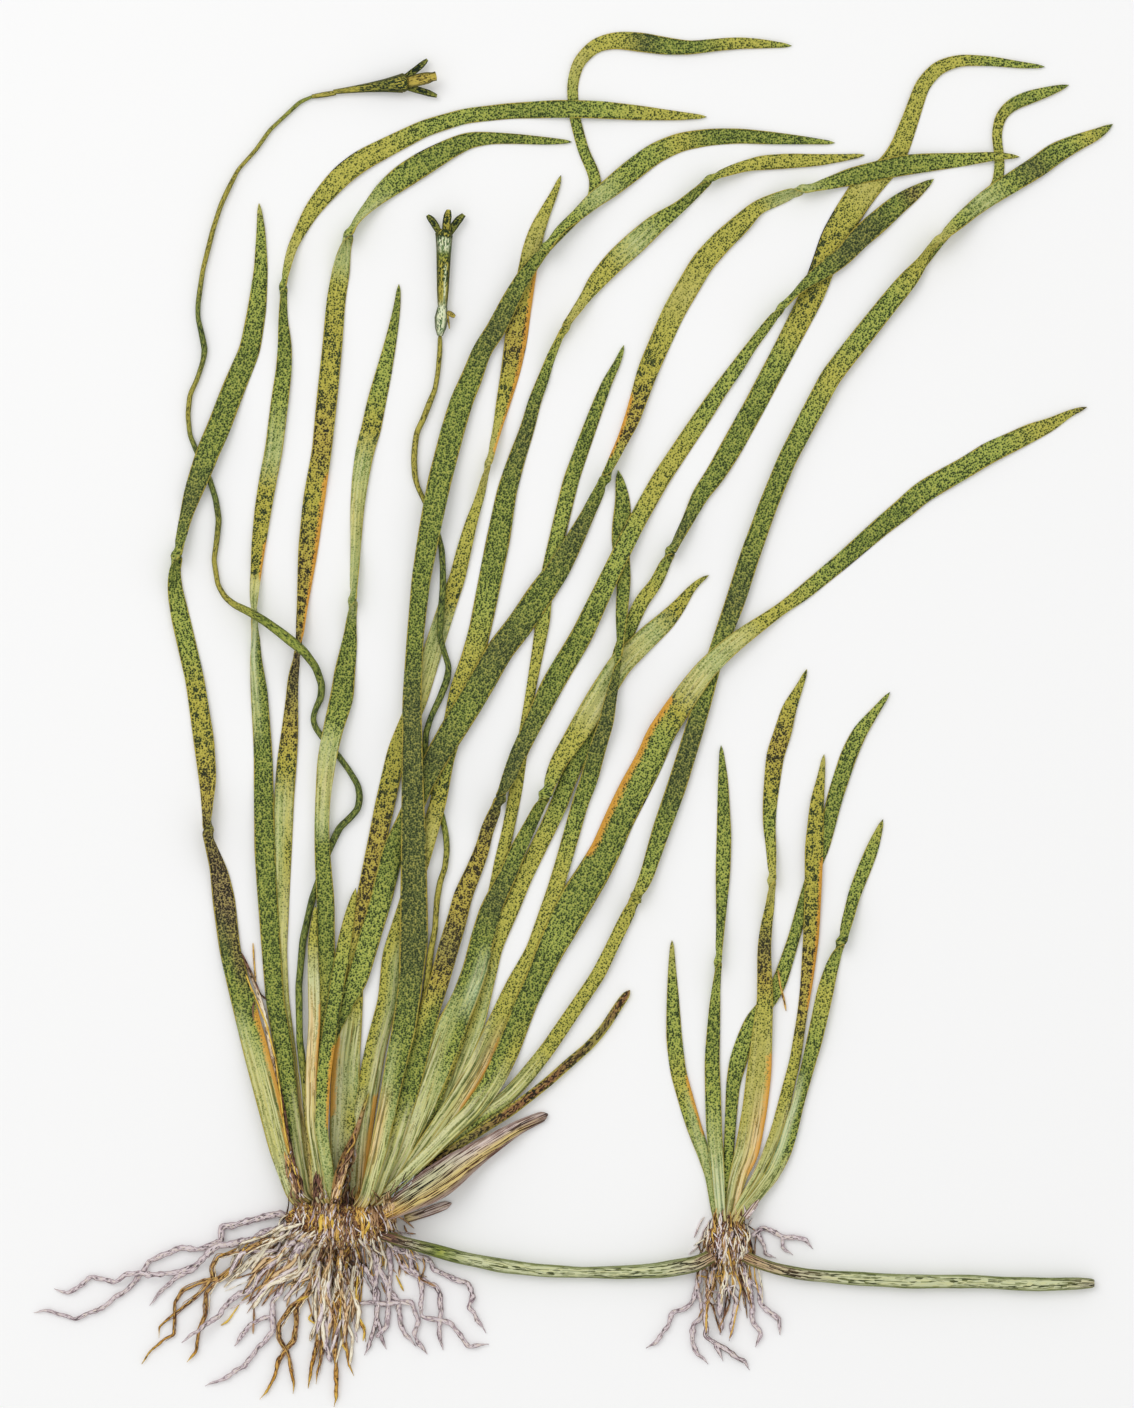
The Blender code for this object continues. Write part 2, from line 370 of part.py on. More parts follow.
def blade_turn(course, phase):
    """True width and turn about the centre line of a blade, at every sample of its course.

    Where the blade is seen narrow at a twist, it keeps its width and turns: the width seen is the
    true width times the cosine of the turn, and past the twist the other face is up.
    """
    seen = course.width
    true = seen.copy()
    for twist in course.twists:
        beside = np.interp([twist - 55, twist + 55], course.s, seen).mean()
        near = np.clip((55 - np.abs(course.s - twist)) / 33, 0, 1)
        near = near * near * (3 - 2 * near)
        true = np.maximum(true, seen + near * np.maximum(beside * 0.92 - seen, 0))
    lean = np.arccos(np.clip(seen / true, 0, 1))
    turn = np.zeros_like(lean)
    if course.twists:
        marks = np.array(course.twists)
        passed = (course.s[:, None] > marks[None, :]).sum(1)
        closest = marks[np.abs(course.s[:, None] - marks[None, :]).argmin(1)]
        turn = passed * math.pi + np.where(course.s < closest, lean, -lean)
        turn = blur(turn, 7)
    fade = np.clip((course.length - course.s) / 240, 0, 1)
    return true, turn + 0.13 * fade * np.sin(course.s / 47 + phase)


def ring_places(course, spacing):
    """Where along a course its rings go: evenly, closer at both ends and around each twist."""
    even = np.linspace(0, course.length, max(4, int(round(course.length / spacing))) + 1)
    wanted = list(even) + [10.0, 26.0]
    if spacing > 50:
        wanted += [course.length - back for back in (26, 60, 95, 130, 165)]
    around = (-36, -14, 14, 36)
    for twist in course.twists:
        wanted += [twist + step for step in around]
    places = [0.0]
    for place in sorted(wanted):
        if place - places[-1] >= 8 and course.length - place >= 8:
            places.append(place)
    places.append(course.length)
    keep = [0]
    fixed = {round(t + step, 3) for t in course.twists for step in around}
    for i in range(1, len(places) - 1):
        crowded = places[i + 1] - places[keep[-1]] < 0.72 * spacing
        near_base = course.length - places[i] < 170
        if crowded and round(places[i], 3) not in fixed and places[i] > 30 and not near_base:
            continue
        keep.append(i)
    keep.append(len(places) - 1)
    return np.array([places[i] for i in keep])


class Heights:
    """The height of what already lies on the surface, cell by cell."""

    def __init__(self):
        self.cells = np.full((int(FIELD_WIDTH / CELL), int(FIELD_LENGTH / CELL)), -LAYER_GAP)

    def index(self, x, y):
        i = np.clip((x / CELL).astype(int), 0, self.cells.shape[0] - 1)
        j = np.clip((y / CELL).astype(int), 0, self.cells.shape[1] - 1)
        return i, j

    def footprint(self, x, y, reach):
        """Cells under a course and how far each is from its centre line: one row a sample."""
        heading = np.arctan2(np.gradient(y), np.gradient(x))
        across = np.linspace(-1, 1, 25)[None, :] * (reach[:, None] + CELL)
        i, j = self.index(x[:, None] - np.sin(heading)[:, None] * across,
                          y[:, None] + np.cos(heading)[:, None] * across)
        return i, j, across

    def stamp(self, i, j, top):
        np.maximum.at(self.cells, (i, j), top)


def section(across, reach, deep, half, slope, steep):
    """Heights of the upper and the lower side over the centre line, across a piece.

    A blade is a lens on a slope. Where it is steep, and on a round piece, the sides are level.
    """
    inner = across * (reach / (reach + CELL))[:, None]
    lens = half[:, None] * np.clip(1 - np.abs(inner) / reach[:, None], 0, 1) + 0.00003
    plane = inner * slope[:, None]
    level = np.broadcast_to(deep[:, None], across.shape)
    steep = steep[:, None] > 0
    return np.where(steep, level, plane + lens), np.where(steep, -level, plane - lens)


def lay(heights, course, places, reach, deep, blade_form=None, start_height=None):
    """Heights of the rings of a piece laid over the field: as low as clears what lies beneath.

    reach and deep are the half width and the half depth of the piece at its rings, and blade_form
    is a blade's half thickness, slope and steepness there. With a start height the first ring is
    held there, as a fork is on its trunk.
    """
    x, y = course.at(course.x, places), course.at(course.y, places)
    fine = np.linspace(0, course.length, int(course.length) + 2)
    low = np.clip(np.searchsorted(places, fine, side="right") - 1, 0, len(places) - 2)
    share = (fine - places[low]) / (places[low + 1] - places[low])

    def between(row):
        return row[low] * (1 - share) + row[low + 1] * share

    fine_x, fine_y = between(x), between(y)
    half, slope, steep = blade_form or (deep, 0 * deep, 0 * deep + 1)
    i, j, across = heights.footprint(fine_x, fine_y, between(reach))
    upper, lower = section(across, between(reach), between(deep), between(half), between(slope),
                           between(steep))
    needed = (heights.cells[i, j] + LAYER_GAP - lower).max(1)
    z = np.zeros(len(places))
    if start_height is not None:
        needed[fine < 6] = 0.0
        z[0] = start_height
    for _ in range(400):
        short = needed - between(z)
        if short.max() < 1e-6:
            break
        for k in range(len(places) - 1):
            inside = low == k
            if not inside.any():
                continue
            gap = needed[inside] - (z[k] * (1 - share[inside]) + z[k + 1] * share[inside])
            worst = gap.argmax()
            if gap[worst] <= 0:
                continue
            part = share[inside][worst]
            norm = (1 - part) ** 2 + part ** 2
            z[k] += gap[worst] * (1 - part) / norm * 1.02
            z[k + 1] += gap[worst] * part / norm * 1.02
    if start_height is not None:
        z[0] = start_height
    return x, y, z, (i, j, between(z)[:, None] + upper)


def frames(x, y):
    """Unit vectors across a course at its rings, flat in plan."""
    heading_x, heading_y = np.gradient(x), np.gradient(y)
    size = np.hypot(heading_x, heading_y)
    return np.stack([-heading_y / size, heading_x / size, np.zeros(len(x))], 1)


def closed_tube(rings):
    """Vertices and faces of a closed body through rings of equally many points each.

    Each patch between two rings is cut along the diagonal that stands further out, so that a thin
    blade stays open inside where it turns.
    """
    count, sides = rings.shape[:2]
    vertices = rings.reshape(-1, 3)
    near, far = rings[:-1], rings[1:]
    near_next, far_next = np.roll(near, -1, 1), np.roll(far, -1, 1)
    normal = np.cross(near_next - near + far_next - far, far - near + far_next - near_next)
    middle = (near.mean(1, keepdims=True) + far.mean(1, keepdims=True)) / 2
    outwards = (near + near_next + far + far_next) / 4 - middle
    side = np.sign((normal * outwards).sum())
    bulge = side * (normal * (near + far_next - near_next - far)).sum(2)
    faces = []
    for i in range(count - 1):
        for j in range(sides):
            a, b = i * sides + j, i * sides + (j + 1) % sides
            c, d = a + sides, b + sides
            faces += [(a, b, d), (a, d, c)] if bulge[i, j] >= 0 else [(a, b, c), (b, d, c)]
    faces += [(0, j + 1, j) for j in range(1, sides - 1)]
    last = (count - 1) * sides
    faces += [(last, last + j, last + j + 1) for j in range(1, sides - 1)]
    corners = vertices[np.array(faces)]
    volume = np.einsum("ij,ij->i", corners[:, 0], np.cross(corners[:, 1], corners[:, 2])).sum()
    if volume < 0:
        faces = [face[::-1] for face in faces]
    return vertices, faces


BODIES = []


def keep(name, look, parts):
    """Notes a node: one closed body, or a trunk and the pieces that are united with it."""
    BODIES.append((name, look, parts))


def blade(heights, name, look, points, phase, thickness=BLADE_THICKNESS, spacing=62):
    """A flat blade with a lens shaped section, draped over the field."""
    course = Course(points, 7)
    true, turn = blade_turn(course, phase)
    places = ring_places(course, spacing)
    width, angle = course.at(true, places), course.at(turn, places)
    thick = np.minimum(thickness, 0.2 * width + 0.0004)
    cos, sin = np.cos(angle), np.sin(angle)
    reach = np.abs(cos) * width / 2 + np.abs(sin) * thick / 2
    deep = np.abs(sin) * width / 2 + thick / 2
    steep = (np.abs(sin) > 0.4).astype(float)
    slope = np.where(steep > 0, 0.0, sin / np.where(steep > 0, 1.0, cos))
    x, y, z, stamp = lay(heights, course, places, reach, deep, (thick / 2, slope, steep))
    heights.stamp(*stamp)
    side = frames(x, y)
    up = np.array([0.0, 0.0, 1.0])
    broad = side * cos[:, None] + up * sin[:, None]
    flat = up * cos[:, None] - side * sin[:, None]
    centre = np.stack([x, y, z], 1)
    rings = np.stack([
        centre + broad * width[:, None] / 2,
        centre + flat * thick[:, None] / 2,
        centre - broad * width[:, None] / 2,
        centre - flat * thick[:, None] / 2], 1)
    keep(name, look, [closed_tube(rings)])
    return centre


def tube(x, y, z, radius, sides, tall=1.0):
    """A round piece along a course. Tall is how high its section is for its width."""
    side = frames(x, y)
    up = np.array([0.0, 0.0, 1.0])
    angles = np.arange(sides) / sides * 2 * math.pi + math.pi / 2
    centre = np.stack([x, y, z], 1)[:, None, :]
    offset = side[:, None, :] * np.cos(angles)[None, :, None] + up * tall * np.sin(angles)[None, :, None]
    return closed_tube(centre + offset * radius[:, None, None])


def stem(heights, name, look, points, smooth, spacing, sides=6):
    """A round stalk or runner, draped over the field."""
    course = Course(points, smooth)
    places = ring_places(course, spacing)
    radius = course.at(course.width, places) / 2
    x, y, z, stamp = lay(heights, course, places, radius, radius)
    heights.stamp(*stamp)
    keep(name, look, [tube(x, y, z, radius, sides)])
    return np.stack([x, y, z], 1)


def root(heights, name, look, strands):
    """A root: its trunk first, then each fork from a point on the trunk."""
    parts, stamps = [], []
    lines = []
    for strand in strands:
        course = Course(strand, 3)
        places = ring_places(course, 21)
        radius = course.at(course.width, places) / 2
        start = None
        if lines:
            trunk = np.concatenate(lines)
            first = np.array([course.x[0], course.y[0]])
            start = trunk[np.hypot(*(trunk[:, :2] - first).T).argmin(), 2]
        x, y, z, stamp = lay(heights, course, places, radius, radius, start_height=start)
        fine = np.linspace(0, 1, 12)[:, None]
        line = np.stack([x, y, z], 1)
        lines.append(np.concatenate([
            line[i] * (1 - fine) + line[i + 1] * fine for i in range(len(line) - 1)]))
        parts.append(tube(x, y, z, radius, 5))
        stamps.append(stamp)
    for stamp in stamps:
        heights.stamp(*stamp)
    keep(name, look, parts)


def lump(heights, name, look, outline, height, levels):
    """A crown: its outline in plan, drawn in and lifted level by level, flat underneath."""
    plan = np.array(outline, float)
    x, y = plan[:, 0] * TRACE, (TRACE_HEIGHT - plan[:, 1]) * TRACE
    middle = np.array([x.mean(), y.mean()])
    rings = np.array([[
        [middle[0] + (px - middle[0]) * share, middle[1] + (py - middle[1]) * share, level * height]
        for px, py in zip(x, y)] for level, share in levels])
    keep(name, look, [closed_tube(rings)])
    grid_x = (np.arange(heights.cells.shape[0]) + 0.5) * CELL
    grid_y = (np.arange(heights.cells.shape[1]) + 0.5) * CELL
    inside = np.zeros(heights.cells.shape, bool)
    previous = len(x) - 1
    for i in range(len(x)):
        straddles = (y[i] > grid_y) != (y[previous] > grid_y)
        rise = y[previous] - y[i]
        crossing = x[i] + (grid_y - y[i]) * (x[previous] - x[i]) / (rise if rise else 1.0)
        inside ^= straddles[None, :] & (grid_x[:, None] < crossing[None, :])
        previous = i
    heights.cells[inside] = height


def flower(name, start, end, end_height, radii, tips):
    """An ovary from start to end with three tepals on its rim. A tip is a place, a rise, a half
    width and how blunt it is. start, end and tips are in trace units."""
    begin = np.array([start[0] * TRACE, (TRACE_HEIGHT - start[1]) * TRACE, end_height[0]])
    finish = np.array([end[0] * TRACE, (TRACE_HEIGHT - end[1]) * TRACE, end_height[1]])
    along = (finish - begin) / np.linalg.norm(finish - begin)
    level = np.array([-along[1], along[0], 0.0])
    shares = np.linspace(0, 1, len(radii))[:, None]
    line = begin * (1 - shares) + finish * shares
    keep("ovary_" + name, STALK_GREEN, [tube(*line.T, np.array(radii), 8, FLOWER_TALL)])
    rim = radii[-1]
    cup = np.stack([finish + along * step for step in (0.0004, 0.0012, 0.0020)])
    parts = [tube(*cup.T, rim * np.array([0.9, 1.0, 0.7]), 6, FLOWER_TALL)]
    for tip_x, tip_y, rise, widest, blunt in tips:
        tip = np.array([tip_x * TRACE, (TRACE_HEIGHT - tip_y) * TRACE, finish[2] + rise])
        lean = (tip - finish) @ level / np.linalg.norm(tip - finish)
        root_point = finish + along * 0.0012 + level * lean * rim * 0.5
        away = tip - root_point
        bow = along * 0.0006
        rings = []
        across = np.cross(away, (0, 0, 1))
        across /= np.linalg.norm(across)
        over = np.cross(across, away)
        over /= np.linalg.norm(over)
        for share, half, thick in ((0.0, 0.8, 0.0004), (0.35, 1.0, 0.00045), (0.8, 0.95, 0.0004),
                                   (1.0, blunt, 0.0003)):
            centre = root_point + away * share + bow * math.sin(math.pi * share)
            rings.append([centre + across * half * widest, centre + over * thick,
                          centre - across * half * widest, centre - over * thick])
        parts.append(closed_tube(np.array(rings)))
    keep("tepals_" + name, TEPAL_GREEN, parts)


field = Heights()
lump(field, "crown", CROWN_BROWN, CROWN, CROWN_HEIGHT,
     ((0.0, 0.82), (0.22, 0.97), (0.5, 1.0), (0.75, 0.88), (0.93, 0.62), (1.0, 0.3)))
lump(field, "daughter_crown", CROWN_BROWN, DAUGHTER_CROWN, DAUGHTER_CROWN_HEIGHT,
     ((0.0, 0.8), (0.3, 1.0), (0.6, 0.96), (0.88, 0.66), (1.0, 0.3)))

BROWN_ROOTS = ("root_03", "root_06", "root_07", "root_08", "root_09", "daughter_root_2", "daughter_root_3")
for root_name, root_strands in ROOTS.items():
    root(field, root_name, ROOT_BROWN if root_name in BROWN_ROOTS else ROOT_PALE, root_strands)

stem(field, "runner", RUNNER_GREEN, RUNNER, 7, 34, 10)
stem(field, "runner_tail", RUNNER_GREEN, RUNNER_TAIL, 7, 36, 10)

blade(field, "small_sheath", SHEATH_TAN, SMALL_SHEATH, 0.3, spacing=20)
blade(field, "leaf_k", BLADE_GREEN, LEAF_K, 2.0)
blade(field, "leaf_u", BLADE_GREEN, LEAF_U, 0.0)
blade(field, "cut_stub", STALK_GREEN, STUB, 0.5, thickness=0.0014)
blade(field, "leaf_h", BLADE_OLIVE, LEAF_H, 0.5)
right_stalk = stem(field, "flower_stalk_right", STALK_GREEN, STALK_RIGHT, 4, 34, 5)
blade(field, "leaf_r", BLADE_OLIVE, LEAF_R, 1.0)
blade(field, "leaf_m", BLADE_GREEN, LEAF_M, 2.0)
blade(field, "leaf_s", BLADE_GREEN, LEAF_S, 3.0)
blade(field, "leaf_p", BLADE_GREEN, LEAF_P, 4.0)
blade(field, "leaf_t", BLADE_GREEN, LEAF_T, 5.0, spacing=51)
blade(field, "old_sheath", SHEATH_TAN, OLD_SHEATH, 1.0, thickness=0.0016, spacing=26)
blade(field, "leaf_l", BLADE_GREEN, LEAF_L, 1.5)
blade(field, "leaf_j", BLADE_GREEN, LEAF_J, 2.5)
blade(field, "leaf_n", BLADE_GREEN, LEAF_N, 3.5)
blade(field, "leaf_c", BLADE_OLIVE, LEAF_C, 4.5)
blade(field, "leaf_g", BLADE_GREEN, LEAF_G, 5.5)
blade(field, "leaf_b", BLADE_GREEN, LEAF_B, 0.2)
left_stalk = stem(field, "flower_stalk_left", STALK_GREEN, STALK_LEFT, 4, 32, 5)
blade(field, "dead_strip_left", DEAD_BROWN, DEAD_LEFT, 1.2)
blade(field, "leaf_a", BLADE_GREEN, LEAF_A, 2.2)
blade(field, "leaf_d", BLADE_GREEN, LEAF_D, 3.2)
blade(field, "young_leaf_left", BLADE_OLIVE, YOUNG_LEFT, 4.2)
blade(field, "young_leaf_right", BLADE_OLIVE, YOUNG_RIGHT, 5.2)
blade(field, "dead_strip_middle", DEAD_BROWN, DEAD_MIDDLE, 0.7)
blade(field, "leaf_f", BLADE_GREEN, LEAF_F, 1.7)

blade(field, "daughter_leaf_4", BLADE_GREEN, DAUGHTER_4, 0.4)
blade(field, "daughter_leaf_3", BLADE_OLIVE, DAUGHTER_3, 1.4)
blade(field, "daughter_leaf_5", BLADE_OLIVE, DAUGHTER_5, 2.4)
blade(field, "daughter_leaf_6", BLADE_GREEN, DAUGHTER_6, 3.4)
blade(field, "daughter_leaf_2", BLADE_GREEN, DAUGHTER_2, 4.4)
blade(field, "daughter_leaf_1", BLADE_GREEN, DAUGHTER_1, 5.4)
blade(field, "daughter_sheath", SHEATH_TAN, DAUGHTER_SHEATH, 0.9, spacing=20)

FLOWER_TALL = 0.75
SPATHES = (
    ("left", left_stalk, (1.0, -0.12), 20, (0.0006, 0.0007, 0.0008, 0.0007)),
    ("right", right_stalk, (0.09, -1.0), 27, (0.0009, 0.0016, 0.0020, 0.0013)))
for side_name, stalk, towards, length, widest in SPATHES:
    top = stalk[0]
    step = np.array([towards[0], -towards[1], 0.0])
    step /= np.linalg.norm(step)
    spathe_line = np.stack([top + step * (0.0004 + share * length * TRACE) for share in
                            (0.0, 0.25, 0.6, 1.0)])
    spathe_line[:, 2] = np.maximum(spathe_line[:, 2], widest)
    keep("spathe_" + side_name, STALK_GREEN, [tube(*spathe_line.T, np.array(widest), 6)])

flower("right", (442.7, 305), (444.5, 236), (0.0016, 0.0023), (0.0014, 0.0018, 0.0020, 0.0022, 0.0026),
       ((427.5, 215.5, -0.0006, 0.0009, 0.3), (449, 211, 0.0036, 0.0012, 0.5),
        (464, 215, -0.0004, 0.00105, 0.5)))
flower("left", (337, 91.7), (402, 84.2), (0.0010, 0.0024), (0.0007, 0.0010, 0.0014, 0.0020, 0.0029),
       ((427.5, 60, -0.0006, 0.0010, 0.4), (436.5, 77.5, 0.0030, 0.0019, 0.75),
        (437, 96.5, -0.0008, 0.00105, 0.5)))

# The whole object is centred on its box in plan and stands on the surface
everything = np.concatenate([part[0] for _, _, parts in BODIES for part in parts])
low, high = everything.min(0), everything.max(0)
shift = np.array([(low[0] + high[0]) / 2, (low[1] + high[1]) / 2, low[2]])


def mesh_object(name, part, look):
    mesh = bpy.data.meshes.new(name)
    mesh.from_pydata((part[0] - shift).tolist(), [], part[1])
    mesh.update()
    made = bpy.data.objects.new(name, mesh)
    bpy.context.scene.collection.objects.link(made)
    made.data.materials.append(material(name, look))
    return made


for body_name, body_look, body_parts in BODIES:
    whole = mesh_object(body_name, body_parts[0], body_look)
    for number, more in enumerate(body_parts[1:]):
        helper = mesh_object(f"{body_name}_fork_{number}", more, body_look)
        helper.hide_render = True
        helper.display_type = "WIRE"
        union = whole.modifiers.new(f"fork_{number}", "BOOLEAN")
        union.operation = "UNION"
        union.solver = "EXACT"
        union.object = helper

print("box in mm", np.round((high - low) * 1000, 1), "shift", np.round(shift, 5).tolist())
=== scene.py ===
# %% [markdown]
# # A vallisneria, laid out flat
# Vallisneria is a water plant: long flat ribbons of leaves that rise from a short rootstock, with
# a runner that ends in a daughter plant. Here the whole uprooted plant lies on a pale table, seen
# from straight above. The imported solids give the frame: every ribbon, stalk and root below is
# a finer skin over the solid that it stands for, in metres and in the same place.

# %% Load the frame
import math

import bpy
import numpy as np
from mathutils.bvhtree import BVHTree
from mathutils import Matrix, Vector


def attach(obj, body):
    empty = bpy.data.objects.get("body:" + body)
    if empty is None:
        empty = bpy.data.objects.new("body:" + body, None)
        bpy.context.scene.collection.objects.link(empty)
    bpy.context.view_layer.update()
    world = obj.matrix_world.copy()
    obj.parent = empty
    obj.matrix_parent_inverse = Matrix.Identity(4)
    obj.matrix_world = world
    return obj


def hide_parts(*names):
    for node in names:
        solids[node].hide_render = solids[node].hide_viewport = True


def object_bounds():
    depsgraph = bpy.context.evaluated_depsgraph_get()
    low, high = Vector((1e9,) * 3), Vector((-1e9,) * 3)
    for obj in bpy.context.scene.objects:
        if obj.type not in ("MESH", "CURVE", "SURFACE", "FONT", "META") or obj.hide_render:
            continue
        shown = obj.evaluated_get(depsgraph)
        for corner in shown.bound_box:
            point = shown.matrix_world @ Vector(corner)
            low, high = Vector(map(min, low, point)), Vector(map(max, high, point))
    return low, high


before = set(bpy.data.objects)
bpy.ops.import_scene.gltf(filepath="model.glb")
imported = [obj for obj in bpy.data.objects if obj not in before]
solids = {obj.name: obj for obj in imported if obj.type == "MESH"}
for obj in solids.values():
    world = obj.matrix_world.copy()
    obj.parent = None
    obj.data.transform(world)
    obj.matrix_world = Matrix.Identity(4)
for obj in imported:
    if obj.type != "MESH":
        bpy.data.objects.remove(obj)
cad_box = [list(corner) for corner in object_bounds()]
print(len(solids), "solids, box", np.round(cad_box, 4).tolist())

# %% [markdown]
# A flat plant is judged from above, so the camera looks straight down. It hangs high with a long
# lens: a plant drawn on paper has no vanishing point, and from 2.4 metres up the leaves that lie
# on top of others hardly shift. All places in the plan are noted in trace units, 0.3 mm each,
# counted across and down from one corner, and the camera looks at the middle of that sheet.

# %% Camera
TRACE = 0.0003
TRACE_HEIGHT = 1420
PLAN_SHIFT = (0.17202, 0.21042)
SHEET = (1134, 1408)
CAMERA_HEIGHT = 2.4
SENSOR = 36.0


def plan(across, down):
    """Metres in the frame for a place in trace units: across grows with X, down shrinks Y."""
    return across * TRACE - PLAN_SHIFT[0], (TRACE_HEIGHT - down) * TRACE - PLAN_SHIFT[1]


camera = bpy.data.objects.new("camera", bpy.data.cameras.new("camera"))
bpy.context.scene.collection.objects.link(camera)
camera.data.sensor_width = SENSOR
camera.data.lens = SENSOR * CAMERA_HEIGHT / (SHEET[1] * TRACE)
camera.location = (*plan(SHEET[0] / 2, SHEET[1] / 2), CAMERA_HEIGHT)
bpy.context.scene.camera = camera
print("camera over", [round(v, 4) for v in camera.location], "lens", round(camera.data.lens, 1))

# %% [markdown]
# A leaf's course is a handful of traced points with a width at each. Straight lines between them
# would show as corners, so the course is read at every trace unit and smoothed with a Gaussian.
# The smoothing reflects the line about its two ends, which keeps the ends where they are.

# %% Courses
THINNEST = 1.2


def blur(values, cells):
    """Gaussian blur of a row of values over this many samples, with its two ends kept in place."""
    reach = min(int(3 * cells), len(values) - 1)
    if reach < 1 or len(values) < 3:
        return values
    offsets = np.arange(-reach, reach + 1)
    weights = np.exp(-0.5 * (offsets / cells) ** 2)
    padded = np.pad(values, reach, mode="reflect", reflect_type="odd")
    return np.convolve(padded, weights / weights.sum(), mode="valid")


def read_at(places, where, values):
    """Values noted at some places, or rows of them, read at others, on straight lines between."""
    if np.ndim(values) == 1:
        return np.interp(places, where, values)
    return np.stack([np.interp(places, where, column) for column in np.transpose(values)], 1)


class Course:
    """A traced line in plan, read at every trace unit of its length and smoothed, in metres."""

    def __init__(self, points, smooth):
        rows = np.array([point[:3] for point in points], float)
        steps = np.hypot(np.diff(rows[:, 0]), np.diff(rows[:, 1]))
        marks = np.concatenate([[0.0], np.cumsum(steps)])
        self.s = np.linspace(0.0, marks[-1], int(marks[-1]) + 2)
        self.across = blur(np.interp(self.s, marks, rows[:, 0]), smooth)
        self.down = blur(np.interp(self.s, marks, rows[:, 1]), smooth)
        self.x, self.y = plan(self.across, self.down)
        width = blur(np.interp(self.s, marks, rows[:, 2]), smooth)
        self.width = np.maximum(width, THINNEST) * TRACE
        self.twists = [marks[i] for i, point in enumerate(points) if len(point) > 3]
        self.length = marks[-1]

    def nearest(self, across, down):
        """The length along the course of the sample that lies closest to a place in trace units."""
        return self.s[np.hypot(self.across - across, self.down - down).argmin()]

    def side(self):
        """Unit vectors across the course, level: its heading turned a quarter to the left."""
        heading_x, heading_y = np.gradient(self.x), np.gradient(self.y)
        size = np.hypot(heading_x, heading_y)
        return np.stack([-heading_y / size, heading_x / size, np.zeros(len(self.x))], 1)


# %% [markdown]
# The solids were laid one over another like wet leaves on a tray, so each knows how high it lies.
# A ray sent down and one sent up through a solid give its upper and its lower side, and half way
# between them is the middle of the leaf. Every new skin takes its height from there, which keeps
# each crossing in the order in which it was laid.

# %% Heights
graph = bpy.context.evaluated_depsgraph_get()
surfaces = {name: BVHTree.FromObject(solid, graph) for name, solid in solids.items()}
DOWN, UP = (0, 0, -1), (0, 0, 1)
RAY_START = 0.1


def hits(name, x, y, start, direction):
    """Heights where rays along Z meet a solid, and nan where they miss it."""
    tree = surfaces[name]
    found = [tree.ray_cast((a, b, start), direction)[0] for a, b in zip(x, y)]
    return np.array([point[2] if point else np.nan for point in found])


def middle(name, x, y, soften):
    """Heights of the middle of a solid under a line of points, straight across gaps, then blurred."""
    z = (hits(name, x, y, RAY_START, DOWN) + hits(name, x, y, -RAY_START, UP)) / 2
    met = ~np.isnan(z)
    z = np.interp(np.arange(len(z)), np.flatnonzero(met), z[met])
    return blur(z, soften)


def highest(names, x, y):
    """The highest surface of several solids over each point, and the table where there is none."""
    z = np.array([hits(name, x, y, RAY_START, DOWN) for name in names])
    return np.nan_to_num(z, nan=0.0).max(0)


print("heights are read from", len(surfaces), "solids")

# %% [markdown]
# Every part of the plant is a closed skin: a grid whose rows run round the part and whose columns
# run along it. Rows of equal length make the faces simple index arithmetic, done for the whole
# grid at once. The skin also carries what its finish needs: a flat map in metres, so that grain
# has the same size everywhere, and values per point such as the ground colour of a leaf.

# %% Skins


